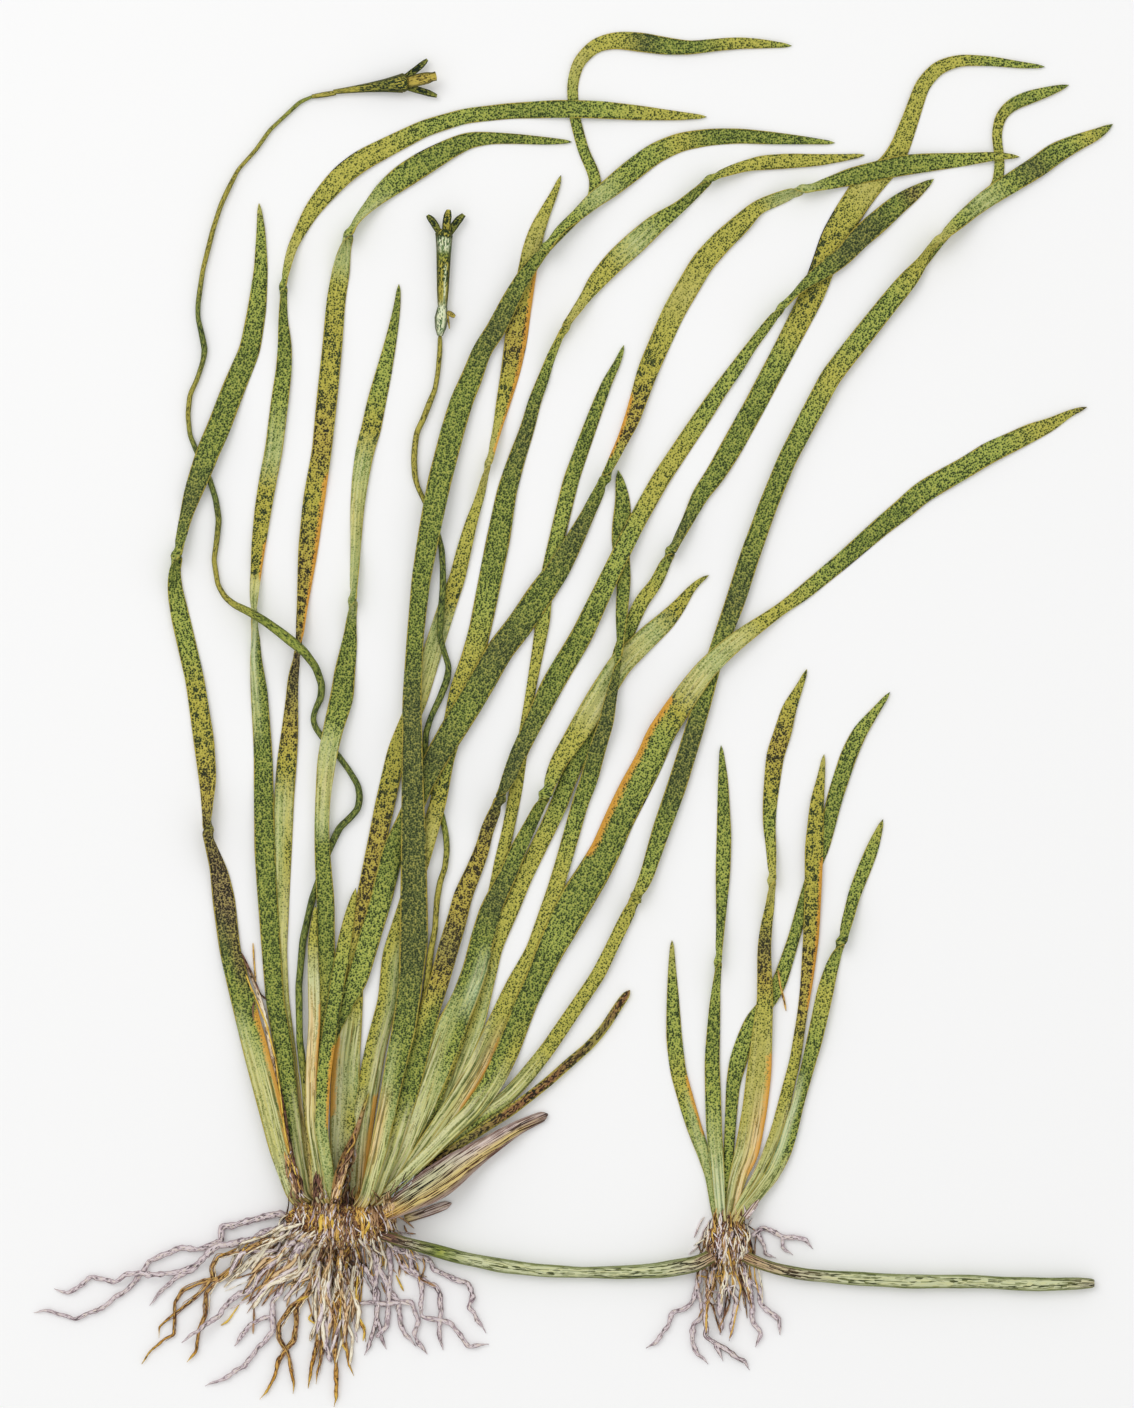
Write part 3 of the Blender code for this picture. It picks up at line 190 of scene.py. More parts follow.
class Piece:
    """One object made of closed skins, which are collected first and then become one mesh."""

    def __init__(self, name):
        self.name = name
        self.points, self.corners, self.sizes, self.maps = [], [], [], []
        self.layers = {}
        self.count = 0

    def skin(self, rows, flat, **layers):
        """Adds a closed skin.

        rows is (along, around, 3). flat is the map, (along, around + 1, 2): its last column meets
        the first one. Each layer has a value, or a colour, for every point. A face joins a point
        with its neighbour round the part and with the two points after them; both ends get a cap.
        Where the volume comes out negative, all faces are turned over.
        """
        along, around = rows.shape[:2]
        here = np.arange(along * around).reshape(along, around)
        beside = np.roll(here, -1, 1)
        quads = np.stack([here[:-1], beside[:-1], beside[1:], here[1:]], 2).reshape(-1, 4)
        maps = np.stack([flat[:-1, :-1], flat[:-1, 1:], flat[1:, 1:], flat[1:, :-1]], 2)
        maps = maps.reshape(-1, 4, 2)
        points = rows.reshape(-1, 3)
        centre = points.mean(0)
        a, b, c, d = (points[quads[:, k]] - centre for k in range(4))
        volume = (a * np.cross(b, c) + a * np.cross(c, d)).sum()
        caps = [(here[0][::-1], flat[0, :-1][::-1]), (here[-1], flat[-1, :-1])]
        if volume < 0:
            quads, maps = quads[:, ::-1], maps[:, ::-1]
            caps = [(cap[::-1], cap_map[::-1]) for cap, cap_map in caps]
        self.corners += [quads.ravel() + self.count] + [cap + self.count for cap, _ in caps]
        self.maps += [maps.reshape(-1, 2)] + [cap_map for _, cap_map in caps]
        self.sizes += [np.full(len(quads), 4), np.full(2, around)]
        self.points.append(points)
        for key, values in layers.items():
            values = np.asarray(values, float)
            wide = (along, around, 4) if values.ndim in (1, 3) else (along, around)
            values = np.broadcast_to(values, wide).reshape(-1, *wide[2:])
            self.layers.setdefault(key, []).append(values)
        self.count += along * around

    def finish(self, material, slot, *replaced):
        """Makes the mesh, gives it its material, hangs it from the root body and hides the solids that it
        stands for.
        """
        mesh = bpy.data.meshes.new(self.name)
        points, corners = np.concatenate(self.points), np.concatenate(self.corners)
        points[:, 2] = np.clip(points[:, 2], 0.0, cad_box[1][2])
        sizes = np.concatenate(self.sizes)
        mesh.vertices.add(len(points))
        mesh.vertices.foreach_set("co", points.astype(np.float32).ravel())
        mesh.loops.add(len(corners))
        mesh.loops.foreach_set("vertex_index", corners.astype(np.int32))
        mesh.polygons.add(len(sizes))
        starts = np.concatenate([[0], np.cumsum(sizes)[:-1]])
        mesh.polygons.foreach_set("loop_start", starts.astype(np.int32))
        mesh.polygons.foreach_set("use_smooth", np.full(len(sizes), True))
        mesh.uv_layers.new(name="flat")
        mesh.uv_layers["flat"].data.foreach_set("uv", np.concatenate(self.maps).astype(np.float32).ravel())
        mesh.update(calc_edges=True)
        for key, values in self.layers.items():
            values = np.concatenate(values)
            kind, field = ("FLOAT_COLOR", "color") if values.ndim == 2 else ("FLOAT", "value")
            layer = mesh.attributes.new(key, kind, "POINT")
            layer.data.foreach_set(field, values.astype(np.float32).ravel())
        made = bpy.data.objects.new(self.name, mesh)
        bpy.context.scene.collection.objects.link(made)
        made.data.materials.append(material)
        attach(made, "root")
        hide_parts(*replaced)
        print(self.name, len(sizes), "faces", np.round((points.max(0) - points.min(0)) * 1000, 1), "mm")


# %% [markdown]
# A finish is a formula: here a vein darkens, there a grain of dark dots comes through. Blender
# keeps formulas as nodes and wires. One small class wraps the end of a wire, so that a line such
# as 1 - veins * 0.2 adds the Math nodes by itself. Colours go through Mix nodes, because a Math
# node would turn them grey.

# %% Shader maths


class Wire:
    """The end of a wire in a material, to be used in formulas."""

    def __init__(self, tree, socket):
        self.tree = tree
        self.socket = socket

    def node(self, kind, settings=None, inputs=None, output=0):
        """Adds a node of any kind: first its settings, then the values or wires of its sockets."""
        made = self.tree.nodes.new(kind)
        for name, value in (settings or {}).items():
            setattr(made, name, value)
        for key, value in (inputs or {}).items():
            if isinstance(value, Wire):
                self.tree.links.new(value.socket, made.inputs[key])
            else:
                made.inputs[key].default_value = value
        return Wire(self.tree, made.outputs[output])

    def math(self, operation, *values):
        return self.node("ShaderNodeMath", {"operation": operation}, dict(enumerate(values)))

    def __add__(self, other):
        return self.math("ADD", self, other)

    def __sub__(self, other):
        return self.math("SUBTRACT", self, other)

    def __rsub__(self, other):
        return self.math("SUBTRACT", other, self)

    def __mul__(self, other):
        return self.math("MULTIPLY", self, other)

    def __pow__(self, other):
        return self.math("POWER", self, other)

    __radd__ = __add__
    __rmul__ = __mul__

    def size(self):
        return self.math("ABSOLUTE", self)

    def wave(self):
        """Cosine of the value."""
        return self.math("COSINE", self)

    def step(self, low, high):
        """A soft step from 0 at low to 1 at high, or falling where low is the larger."""
        return self.node("ShaderNodeMapRange", {"interpolation_type": "SMOOTHSTEP"},
                         {"Value": self, "From Min": low, "From Max": high})

    def toward(self, other, share):
        """This colour mixed by a share from 0 to 1 with another, a wire or six hexadecimal digits."""
        other = tuple(tint(other)) if isinstance(other, str) else other
        return self.node("ShaderNodeMix", {"data_type": "RGBA"}, {0: share, 6: self, 7: other}, output=2)

    def stretched(self, scale):
        """A position scaled along each of its axes."""
        return self.node("ShaderNodeVectorMath", {"operation": "MULTIPLY"}, {0: self, 1: scale})

    def part(self, axis):
        return self.node("ShaderNodeSeparateXYZ", {}, {0: self}, output=axis)


def tint(code, alpha=1.0):
    """A colour from its six hexadecimal digits, as the linear values that a shader wants."""
    channels = [int(code[k:k + 2], 16) / 255 for k in (0, 2, 4)]
    return [*(c / 12.92 if c <= 0.04045 else ((c + 0.055) / 1.055) ** 2.4 for c in channels), alpha]


DOT_YELLOW = "e8da6c"
DOT_BLACK = "1d241a"
DOT_EDGE = 0.02


class Finish:
    """A material with what its formulas start from."""

    def __init__(self, name, gloss, coat=0.0):
        self.material = bpy.data.materials.new(name)
        self.material.use_nodes = True
        self.tree = self.material.node_tree
        self.shader = self.tree.nodes["Principled BSDF"]
        self.shader.inputs["Specular IOR Level"].default_value = gloss
        self.shader.inputs["Coat Weight"].default_value = coat
        self.start = Wire(self.tree, None)
        self.flat = self.start.node("ShaderNodeUVMap", {"uv_map": "flat"})
        self.place = self.start.node("ShaderNodeTexCoord", output=3)

    def layer(self, name, output="Color"):
        """A value or a colour that the piece has at every point."""
        return self.start.node("ShaderNodeAttribute", {"attribute_name": name}, output=output)

    def noise(self, where, scale, detail=2.0, roughness=0.5):
        """Cloudy noise around 0.5, scale cells to a metre."""
        return self.start.node("ShaderNodeTexNoise", {"noise_dimensions": "3D"},
                               {"Vector": where, "Scale": scale, "Detail": detail, "Roughness": roughness})

    def cells(self, where, scale, output):
        """Flat cells, scale of them to a metre: a random Color for each, or the Distance to its middle."""
        return self.start.node("ShaderNodeTexVoronoi", {"voronoi_dimensions": "2D"},
                               {"Vector": where, "Scale": scale}, output)

    def dots(self, where, scale):
        """A number around a half, low in the middle of evenly strewn dots: 0.71 times the random
        number of a cell, plus 1.21 times the distance to its middle, minus 0.37."""
        number = self.cells(where, scale, "Color").part(0)
        return number * 0.71 + self.cells(where, scale, "Distance") * 1.21 - 0.37

    def stipple(self, ground, ink, level, cell, straw=0.3, deep=0.75):
        """Flat dots in a ground: dark where a cell's number lies under the level, near black where it
        lies far under it, by the share called deep, and straw yellow where it is high."""
        dark, high, low = level - cell, cell - level * 0.35 - 0.68, level * 0.5 - 0.06 - cell
        colour = ground.toward(ink, dark.step(-DOT_EDGE, DOT_EDGE))
        colour = colour.toward(DOT_YELLOW, high.step(-DOT_EDGE, DOT_EDGE) * straw)
        return colour.toward(DOT_BLACK, low.step(-DOT_EDGE, DOT_EDGE) * deep)

    def done(self, colour, roughness, relief, depth):
        """Wires the colour, the roughness and the relief, in metres of depth, to the shader."""
        for name, value in (("Base Color", colour), ("Roughness", roughness)):
            if isinstance(value, Wire):
                self.tree.links.new(value.socket, self.shader.inputs[name])
            else:
                self.shader.inputs[name].default_value = value
        bump = self.start.node("ShaderNodeBump", {},
                               {"Height": relief, "Distance": depth, "Strength": 1.0})
        self.tree.links.new(bump.socket, self.shader.inputs["Normal"])
        return self.material


# %% [markdown]
# Seen close, a blade isn't one green: each skin cell is a flat dot of its own tone, near black, dark,
# middle or straw yellow, and only from a step away do they add up to a green. Dark cells gather in
# long lanes and, on the olive side, in spots. So each tone below is a ground colour, the colour of
# the dark cells, their share, how strong the spots are, and how clearly the lanes show. The last
# two are left out where they are 0.

# %% Tones of the blades
TONES = {
    "dark": ("818f42", "4f5d2a", 0.44),
    "deep": ("666d3a", "4c562f", 0.50),
    "green": ("98a54e", "505e2b", 0.42),
    "olive": ("b0ac4e", "666c2e", 0.34),
    "spotted": ("aca444", "4c552c", 0.28, 0.9),
    "rust": ("ab9a44", "4c4228", 0.32, 1.0),
    "brown": ("7e7642", "474029", 0.50),
    "pale": ("c5c37a", "999d55", 0.30, 0.0, 0.4),
    "cool": ("b3bb78", "859852", 0.36, 0.1, 0.3),
    "teal": ("b9c896", "88a070", 0.32, 0.0, 0.7),
    "straw": ("b7b160", "94933f", 0.30, 0.0, 0.1),
    "base": ("bcbf7c", "7f864a", 0.36, 0.0, 0.8),
    "cream": ("cacd96", "989c62", 0.32, 0.0, 0.5),
    "peach": ("e4c78e", "b89a58", 0.30, 0.0, 0.9),
    "husk": ("c0a468", "6e4c34", 0.38, 0.0, 1.0),
    "umber": ("857650", "3f352a", 0.52),
    "tan": ("dccdae", "96785a", 0.34, 0.0, 1.0),
}
ORANGE = "e0a040"
MARGIN = "b5a244"
LANE_PALE, LANE_DARK, LANE_OCHRE = "e9e4b6", "46522a", "d4a24a"
DOTS, DASHES, BLOTCHES = 1750, 2300, 330


def tone_rows(course, dress, default, foot=None, reach=0.0):
    """Ground, dark cells, spots and lanes along a course, for its left and for its right side.

    The tones are noted at places on the course, with a second name where the right side differs.
    A foot is the tone of the last bit, so long: the tone before it lasts until there.
    """
    stops = sorted((course.nearest(*note[:2]), note[2], note[-1]) for note in dress)
    stops = stops or [(0, default, default)]
    if foot:
        stops = [stop for stop in stops if stop[0] < course.length - reach]
        stops += [(course.length - reach, *stops[-1][1:]), (course.length - reach * 0.4, foot, foot)]
    where = [stop[0] for stop in stops]
    reads = (
        lambda row: tint(row[0]),
        lambda row: tint(row[1], row[2]),
        lambda row: (*row[3:], 0, 0)[:2])
    return [[read_at(course.s, where, [read(TONES[stop[side]]) for stop in stops]) for read in reads]
            for side in (1, 2)]


def blade_finish():
    """The finish of every blade.

    Every place has a number from evenly strewn dots, or from dashes where there are lanes. It is
    dark where the number lies under the share of dark ones, near black far under it, and straw
    yellow where the number is high. Streaks are noise drawn out along the blade, spots are the
    middles of a coarse Voronoi pattern, and both raise the share; so does a line beside the ochre
    margins. Lanes also get pale, dark and ochre lines of their own.
    """
    finish = Finish("blade", 0.12)
    ground, ink, marks = finish.layer("ground"), finish.layer("ink"), finish.layer("marks")
    across, density = finish.layer("across", "Fac"), finish.layer("ink", "Alpha")
    spots, orange, lanes = (marks.part(axis) for axis in range(3))
    cell = finish.dots(finish.flat, DOTS)
    dash = finish.cells(finish.flat.stretched((0.12, 1.0, 1.0)), DASHES, "Color").part(0)
    cell = cell + (dash - cell) * lanes
    cloud = finish.noise(finish.flat, 190, 2.0)
    streak = finish.noise(finish.flat.stretched((0.025, 1.0, 1.0)), 2300, 2.0)
    blotch = finish.cells(finish.flat.stretched((1.0, 0.9, 1.0)), BLOTCHES, "Distance").step(0.40, 0.22)
    edge = across.size() + (cell - 0.5) * 0.08
    rim = edge.step(0.66, 0.8) * edge.step(0.95, 0.86)
    level = density + (cloud - 0.5) * 0.35 + (streak - 0.5) * (lanes * 1.2 + 0.4)
    level = level + blotch * spots * 0.45 + rim * 0.22
    colour = finish.stipple(ground, ink, level, cell, deep=0.8 - lanes * 0.6)
    lane = finish.noise(finish.flat.stretched((0.012, 1.0, 1.0)), 1250, 3.0)
    colour = colour.toward(LANE_PALE, lanes * (lane - 0.52).step(0.0, 0.05) * 0.65)
    colour = colour.toward(LANE_DARK, lanes * (0.455 - lane).step(0.0, 0.025) * 0.8)
    colour = colour.toward(LANE_OCHRE, lanes * (streak - 0.6).step(0.0, 0.04) * 0.4)
    colour = colour.toward(MARGIN, edge.step(0.86, 0.93) * (cloud - 0.3).step(0.0, 0.25) * 0.75)
    side = across * orange + (cell - 0.5) * 0.3
    colour = colour.toward(ORANGE, side.step(0.48, 0.78) * 0.78)
    veins = ((across * 15.7).wave() * 0.5 + 0.5) ** 3.0
    relief = veins * 0.5 + cell * 0.2 + streak * 0.8
    return finish.done(colour, 0.66 + (cloud - 0.5) * 0.2, relief, 0.0001)


BLADE = blade_finish()
print("blade finish with", len(BLADE.node_tree.nodes), "nodes and", len(TONES), "tones")

# %% [markdown]
# Where a ribbon turns over it is seen edge on for a moment, and then its other face is up. The
# traced width narrows there, but the leaf itself keeps its width: the width seen is the true
# width times the cosine of the turn. Reading the turn back from the width gives a real half turn.
# A ribbon is also a shallow trough, and it curls as it turns, by about the width that is seen
# there: that is what keeps a line of leaf in sight where a flat strip would vanish.

# %% Ribbons
LEAF_HALF = 0.00022
EDGE_HALF = 0.00007
STATION = 3.0
COLUMNS = 9
SMOOTH = 7
TROUGH = 0.055
TWIST_CURL = 0.95
TWIST_REACH = 55
TWIST_EASE = 33
TWIST_WIDTH = 0.92
SWAY, SWAY_LENGTH, SWAY_FADE = 0.13, 47, 240
EDGE_WAVE, EDGE_WAVE_LENGTH = 0.00012, 19
ROUND_TIP = 7
THIN_BELOW = 0.0012
SOFT_END = 14
INTO = 14
FOOT = 24
UNDERSIDE = "a3a75a"
UNDERSIDE_SHARE = 0.4


def blade_turn(course, phase):
    """True width and turn about the centre line, at every sample of a course."""
    seen = course.width
    true = seen.copy()
    for twist in course.twists:
        beside = np.interp([twist - TWIST_REACH, twist + TWIST_REACH], course.s, seen).mean()
        near = np.clip((TWIST_REACH - np.abs(course.s - twist)) / TWIST_EASE, 0, 1)
        near = near * near * (3 - 2 * near)
        true = np.maximum(true, seen + near * np.maximum(beside * TWIST_WIDTH - seen, 0))
    lean = np.arccos(np.clip(seen / true, 0, 1))
    turn = np.zeros_like(lean)
    if course.twists:
        marks = np.array(course.twists)
        passed = (course.s[:, None] > marks[None, :]).sum(1)
        closest = marks[np.abs(course.s[:, None] - marks[None, :]).argmin(1)]
        turn = passed * math.pi + np.where(course.s < closest, lean, -lean)
        turn = blur(turn, SMOOTH)
    fade = np.clip((course.length - course.s) / SWAY_FADE, 0, 1)
    return true, turn + SWAY * fade * np.sin(course.s / SWAY_LENGTH + phase)


def between(course, ranges):
    """1 within ranges of lengths along a course and 0 outside, with soft ends."""
    share = np.zeros(len(course.s))
    for start, end in ranges:
        inside = np.minimum(course.s - start, end - course.s)
        share = np.maximum(share, np.clip(inside / SOFT_END + 0.5, 0, 1))
    return share


def round_trip(columns):
    """Places across a blade, from -1 to 1 and back, and the faces they are on: 1 above, -1 below."""
    v = np.cos(np.linspace(math.pi, 0, columns))
    loop = np.concatenate([v, v[-2:0:-1]])
    face = np.concatenate([np.ones(columns), -np.ones(columns - 2)])
    return loop[None, :], face[None, :]


def ribbon(piece, node, points, phase, dress, default="green", orange=(), columns=COLUMNS,
           half=LEAF_HALF, trough=TROUGH, seed=0.0, home=None):
    """Adds a draped blade to a piece.

    A point is the centre plus the broad direction times its place across, from -1 to 1, times half
    the width, plus the flat direction times a trough, 0.5 minus its place squared, and plus or
    minus a thickness that thins out to the edges. The directions are the level side and the
    vertical, turned together by the turn of the blade. A home, across, down and a height, lets the
    last bit of the blade run on towards it and sink into the rootstock.
    """
    if home:
        last = np.array(points[-1][:2], float)
        step = np.array(home[:2]) - last
        points = list(points) + [(*(last + step / np.hypot(*step) * INTO), points[-1][2])]
    course = Course(points, SMOOTH)
    true, turn = blade_turn(course, phase)
    z = middle(node, course.x, course.y, 6)
    if home:
        sink = np.clip((course.s - course.length) / INTO + 1, 0, 1) ** 2
        z = z + (np.minimum(z, home[2]) - z) * sink
    sides = tone_rows(course, dress, default, "husk" if home else None, FOOT)
    left = between(course, [span[1:] for span in orange if span[0] < 0])
    right = between(course, [span[1:] for span in orange if span[0] > 0])
    stations = np.linspace(0, course.length, max(8, int(course.length / STATION)))

    def at(values):
        return read_at(stations, course.s, values)

    side = at(course.side())
    angle = at(turn)[:, None, None]
    up = np.array([0.0, 0.0, 1.0])
    broad = side[:, None, :] * np.cos(angle) + up * np.sin(angle)
    flat = up * np.cos(angle) - side[:, None, :] * np.sin(angle)
    rounded = np.sqrt(np.clip(stations / ROUND_TIP, 0.004, 1))
    width = (at(true) * rounded)[:, None]
    loop, face = round_trip(columns)
    shown = np.clip(at(true / course.width) * np.abs(np.cos(at(turn))), 0, 1)
    edge_on = (at(course.width / true) * np.sqrt(1 - shown ** 2) * np.sin(at(turn)) ** 4)[:, None]
    wave = np.sin(stations / EDGE_WAVE_LENGTH + phase * 3)[:, None] * EDGE_WAVE * loop ** 2 * np.sign(loop)
    thin = half * np.sqrt(np.clip(1 - loop ** 2, 0, 1)) + EDGE_HALF * (np.abs(loop) < 0.999)
    lift = width * (trough + TWIST_CURL * edge_on) * (0.5 - loop ** 2) + wave
    lift = lift + face * thin * np.minimum(1, width / THIN_BELOW)
    centre = np.stack([at(course.x), at(course.y), at(z)], 1)
    rows = centre[:, None, :] + broad * (loop * width / 2)[:, :, None] + flat * lift[:, :, None]
    above = np.sign(np.cos(at(turn)))[:, None]
    across = loop * above
    run = stations[:, None] * TRACE + seed
    cross = np.concatenate([loop, loop[:, :1]], 1) * width / 2
    flat_map = np.stack(np.broadcast_arrays(run, cross), 2)
    share = np.clip(across * 1.6 + 0.5, 0, 1)[:, :, None]
    ground_rows, ink_rows, mark_rows = (
        at(left_side)[:, None, :] * (1 - share) + at(right_side)[:, None, :] * share
        for left_side, right_side in zip(*sides))
    under = ground_rows * (1 - UNDERSIDE_SHARE) + np.array(tint(UNDERSIDE)) * UNDERSIDE_SHARE
    ground_rows = np.where((face * above < 0)[:, :, None], under, ground_rows)
    strength = np.where(across > 0, at(right)[:, None], -at(left)[:, None])
    marks = np.stack([mark_rows[:, :, 0], strength, mark_rows[:, :, 1], np.ones(across.shape)], 2)
    piece.skin(rows, flat_map, ground=ground_rows, ink=ink_rows, marks=marks, across=across)


# %% [markdown]
# The long leaves of the mother plant, each traced from its tip down: across, down, the width that
# is seen, and a mark where the leaf turns over. Some go on past a bend as the ends that lay afloat.

# %% Courses of the leaves
TWIST = 1
LEAF_A = [
    (259, 203, 3), (261, 230, 9), (261, 270, 14), (257, 310, 19), (250, 350, 21), (235, 385, 23),
    (218, 430, 24), (209, 450, 24), (200, 475, 22), (191, 500, 17), (185, 520, 12), (177, 555, 9, TWIST),
    (174, 570, 11), (175, 590, 16), (181, 620, 19), (195, 680, 19), (204, 740, 21), (208, 780, 18),
    (208, 800, 14), (208, 830, 8, TWIST), (213, 850, 13), (219, 870, 18), (224, 900, 23),
    (230, 950, 21), (243, 1000, 24), (256, 1050, 26), (269, 1100, 25), (281, 1150, 22), (296, 1198, 16)]
LEAF_B = [
    (707, 117, 3), (680, 116, 9), (640, 113, 15), (600, 110, 18), (560, 109, 18), (510, 111, 16),
    (465, 116, 15), (425, 128, 17), (385, 148, 20), (362, 160, 22), (342, 175, 22), (328, 190, 20),
    (312, 210, 16), (301, 230, 12), (291, 250, 9), (283, 285, 6, TWIST), (283, 320, 10),
    (285, 345, 14), (284, 370, 16), (280, 400, 18), (274, 450, 18), (268, 480, 18), (263, 510, 17),
    (258, 550, 14), (254, 600, 7), (255, 615, 5, TWIST), (256, 630, 6), (256, 660, 12), (259, 690, 17),
    (263, 750, 19), (265, 850, 21), (268, 900, 20), (275, 1000, 19), (284, 1050, 19), (290, 1100, 16),
    (298, 1150, 13), (306, 1196, 12)]
LEAF_C = [
    (572, 142, 3), (545, 141, 8), (518, 139, 10), (490, 138, 12), (468, 140, 17), (447, 150, 21),
    (424, 163, 25), (402, 177, 25), (382, 193, 19), (372, 203, 14), (358, 218, 7),
    (348, 235, 7, TWIST), (344, 250, 13), (342, 265, 18), (336, 300, 19), (332, 350, 20),
    (327, 400, 21), (322, 450, 20), (314, 500, 22), (308, 550, 20), (303, 600, 12),
    (299, 648, 5, TWIST), (293, 680, 10), (290, 730, 17), (287, 760, 20), (284, 800, 20),
    (283, 850, 18), (280, 950, 14), (282, 1000, 14), (289, 1060, 16), (298, 1130, 14), (313, 1194, 10)]
LEAF_D = [
    (399, 284, 3), (398, 300, 6), (395, 320, 9), (389, 350, 13), (382, 380, 17), (377, 400, 19),
    (371, 430, 20), (365, 450, 19), (360, 480, 17), (357, 510, 14), (356, 540, 11),
    (353, 600, 7, TWIST), (351, 620, 10), (350, 640, 15), (345, 670, 21), (342, 698, 24),
    (333, 730, 20), (327, 760, 19), (323, 800, 15), (322, 830, 15), (323, 860, 16), (326, 900, 18),
    (326, 980, 18), (322, 1020, 18), (318, 1070, 18), (316, 1120, 16), (319, 1196, 10)]
LEAF_F = [
    (835, 143, 3), (800, 140, 9), (770, 138, 13), (740, 136, 15), (710, 137, 17), (680, 142, 19),
    (655, 153, 21), (630, 172, 22), (608, 190, 20), (594, 200, 17), (577, 216, 13), (559, 230, 11),
    (545, 250, 9, TWIST), (528, 270, 14), (511, 300, 18), (496, 330, 20), (482, 350, 19),
    (471, 380, 22), (462, 400, 23), (453, 430, 24), (440, 480, 24), (430, 530, 22), (421, 580, 19),
    (415, 640, 17), (412, 700, 19), (413, 780, 22), (414, 860, 26), (414, 940, 29), (411, 980, 24),
    (404, 1030, 24), (397, 1060, 22), (389, 1100, 19), (379, 1150, 17), (366, 1199, 12)]
LEAF_G = [
    (792, 46, 3), (765, 44, 9), (740, 43, 12), (715, 45, 13), (690, 48, 14), (665, 46, 18),
    (640, 42, 20), (615, 40, 17), (595, 45, 14), (578, 62, 12), (572, 85, 11), (574, 115, 11),
    (583, 150, 11), (596, 178, 12), (594, 200, 12), (577, 216, 11), (545, 250, 9), (511, 300, 12),
    (482, 350, 12), (462, 400, 13), (453, 430, 13), (440, 480, 13), (430, 530, 13), (421, 580, 12),
    (415, 640, 12), (412, 700, 12), (413, 780, 13), (412, 860, 13), (411, 940, 13), (409, 980, 13),
    (403, 1030, 13), (391, 1090, 12), (379, 1150, 11), (367, 1199, 10)]
LEAF_H = [
    (561, 175, 3), (556, 190, 7), (546, 210, 11), (537, 230, 16), (531, 250, 18), (524, 290, 20),
    (520, 310, 22), (516, 340, 23), (511, 370, 20), (504, 400, 15), (497, 430, 9),
    (488, 465, 5, TWIST), (479, 500, 8), (472, 520, 12), (464, 550, 15), (457, 580, 16),
    (449, 600, 18), (433, 650, 19), (418, 700, 19), (397, 750, 19), (386, 800, 20), (373, 860, 18),
    (365, 900, 18), (358, 930, 17), (355, 965, 17), (354, 1000, 18), (351, 1025, 22), (347, 1052, 27),
    (345, 1085, 29), (344, 1110, 28), (342, 1140, 24), (341, 1170, 20), (342, 1198, 10)]
LEAF_J = [
    (1020, 157, 3), (1000, 156, 8), (960, 160, 14), (925, 163, 19), (900, 166, 21), (850, 177, 18),
    (830, 183, 13), (800, 190, 7, TWIST), (780, 198, 11), (757, 207, 14), (742, 223, 20),
    (722, 241, 22), (702, 263, 23), (674, 311, 23), (661, 340, 22), (648, 370, 21), (640, 395, 18),
    (632, 420, 16), (623, 440, 12), (605, 480, 9, TWIST), (595, 500, 12), (585, 520, 15),
    (572, 545, 20), (558, 570, 24), (540, 595, 27), (520, 625, 27), (500, 650, 27), (480, 685, 28),
    (465, 710, 28), (450, 735, 26), (435, 760, 24), (422, 785, 22), (408, 820, 22), (393, 850, 22),
    (381, 900, 22), (366, 950, 22), (357, 980, 22), (345, 1003, 18), (333, 1030, 15), (326, 1052, 14),
    (322, 1077, 14), (319, 1102, 13), (318, 1135, 12), (322, 1165, 11), (328, 1197, 10)]
LEAF_K = [
    (1069, 85, 3), (1050, 91, 10), (1030, 97, 14), (1012, 104, 13), (1000, 116, 11), (996, 135, 10),
    (1000, 160, 10), (998, 185, 11), (985, 200, 11), (970, 212, 11), (945, 235, 9), (920, 265, 12),
    (895, 300, 12), (865, 340, 12), (835, 378, 12), (812, 420, 12), (790, 460, 12), (770, 505, 12),
    (752, 555, 12), (735, 605, 12), (717, 650, 12), (705, 700, 12), (688, 760, 12), (672, 805, 12),
    (657, 850, 11), (635, 900, 10), (611, 950, 11), (581, 1000, 11), (547, 1050, 11), (505, 1099, 11),
    (440, 1147, 11), (386, 1196, 10)]
LEAF_L = [
    (865, 155, 3), (850, 157, 6), (820, 160, 12), (790, 161, 15), (760, 163, 15), (740, 167, 9),
    (710, 178, 6, TWIST), (700, 188, 9), (680, 207, 12), (656, 224, 20), (635, 243, 23),
    (615, 261, 22), (596, 282, 18), (586, 297, 12), (565, 328, 6, TWIST), (550, 360, 9),
    (543, 380, 12), (535, 400, 13), (527, 430, 15), (518, 455, 17), (507, 490, 20), (498, 540, 24),
    (486, 600, 23), (480, 630, 22), (472, 660, 23), (461, 690, 23), (455, 720, 22), (445, 760, 18),
    (439, 800, 16), (427, 840, 18), (415, 880, 18), (405, 915, 20), (392, 955, 20), (388, 1000, 20),
    (375, 1050, 21), (366, 1100, 22), (360, 1150, 20), (356, 1199, 12)]
LEAF_M = [
    (624, 345, 3), (618, 362, 7), (608, 380, 10), (600, 400, 12), (589, 430, 14), (571, 480, 16),
    (559, 530, 16), (551, 560, 14), (545, 590, 15), (543, 620, 15), (538, 650, 12), (529, 700, 9),
    (522, 750, 12), (516, 790, 13), (508, 830, 12), (501, 860, 13), (495, 890, 13), (480, 960, 14),
    (462, 1030, 14), (435, 1100, 13), (383, 1197, 11)]
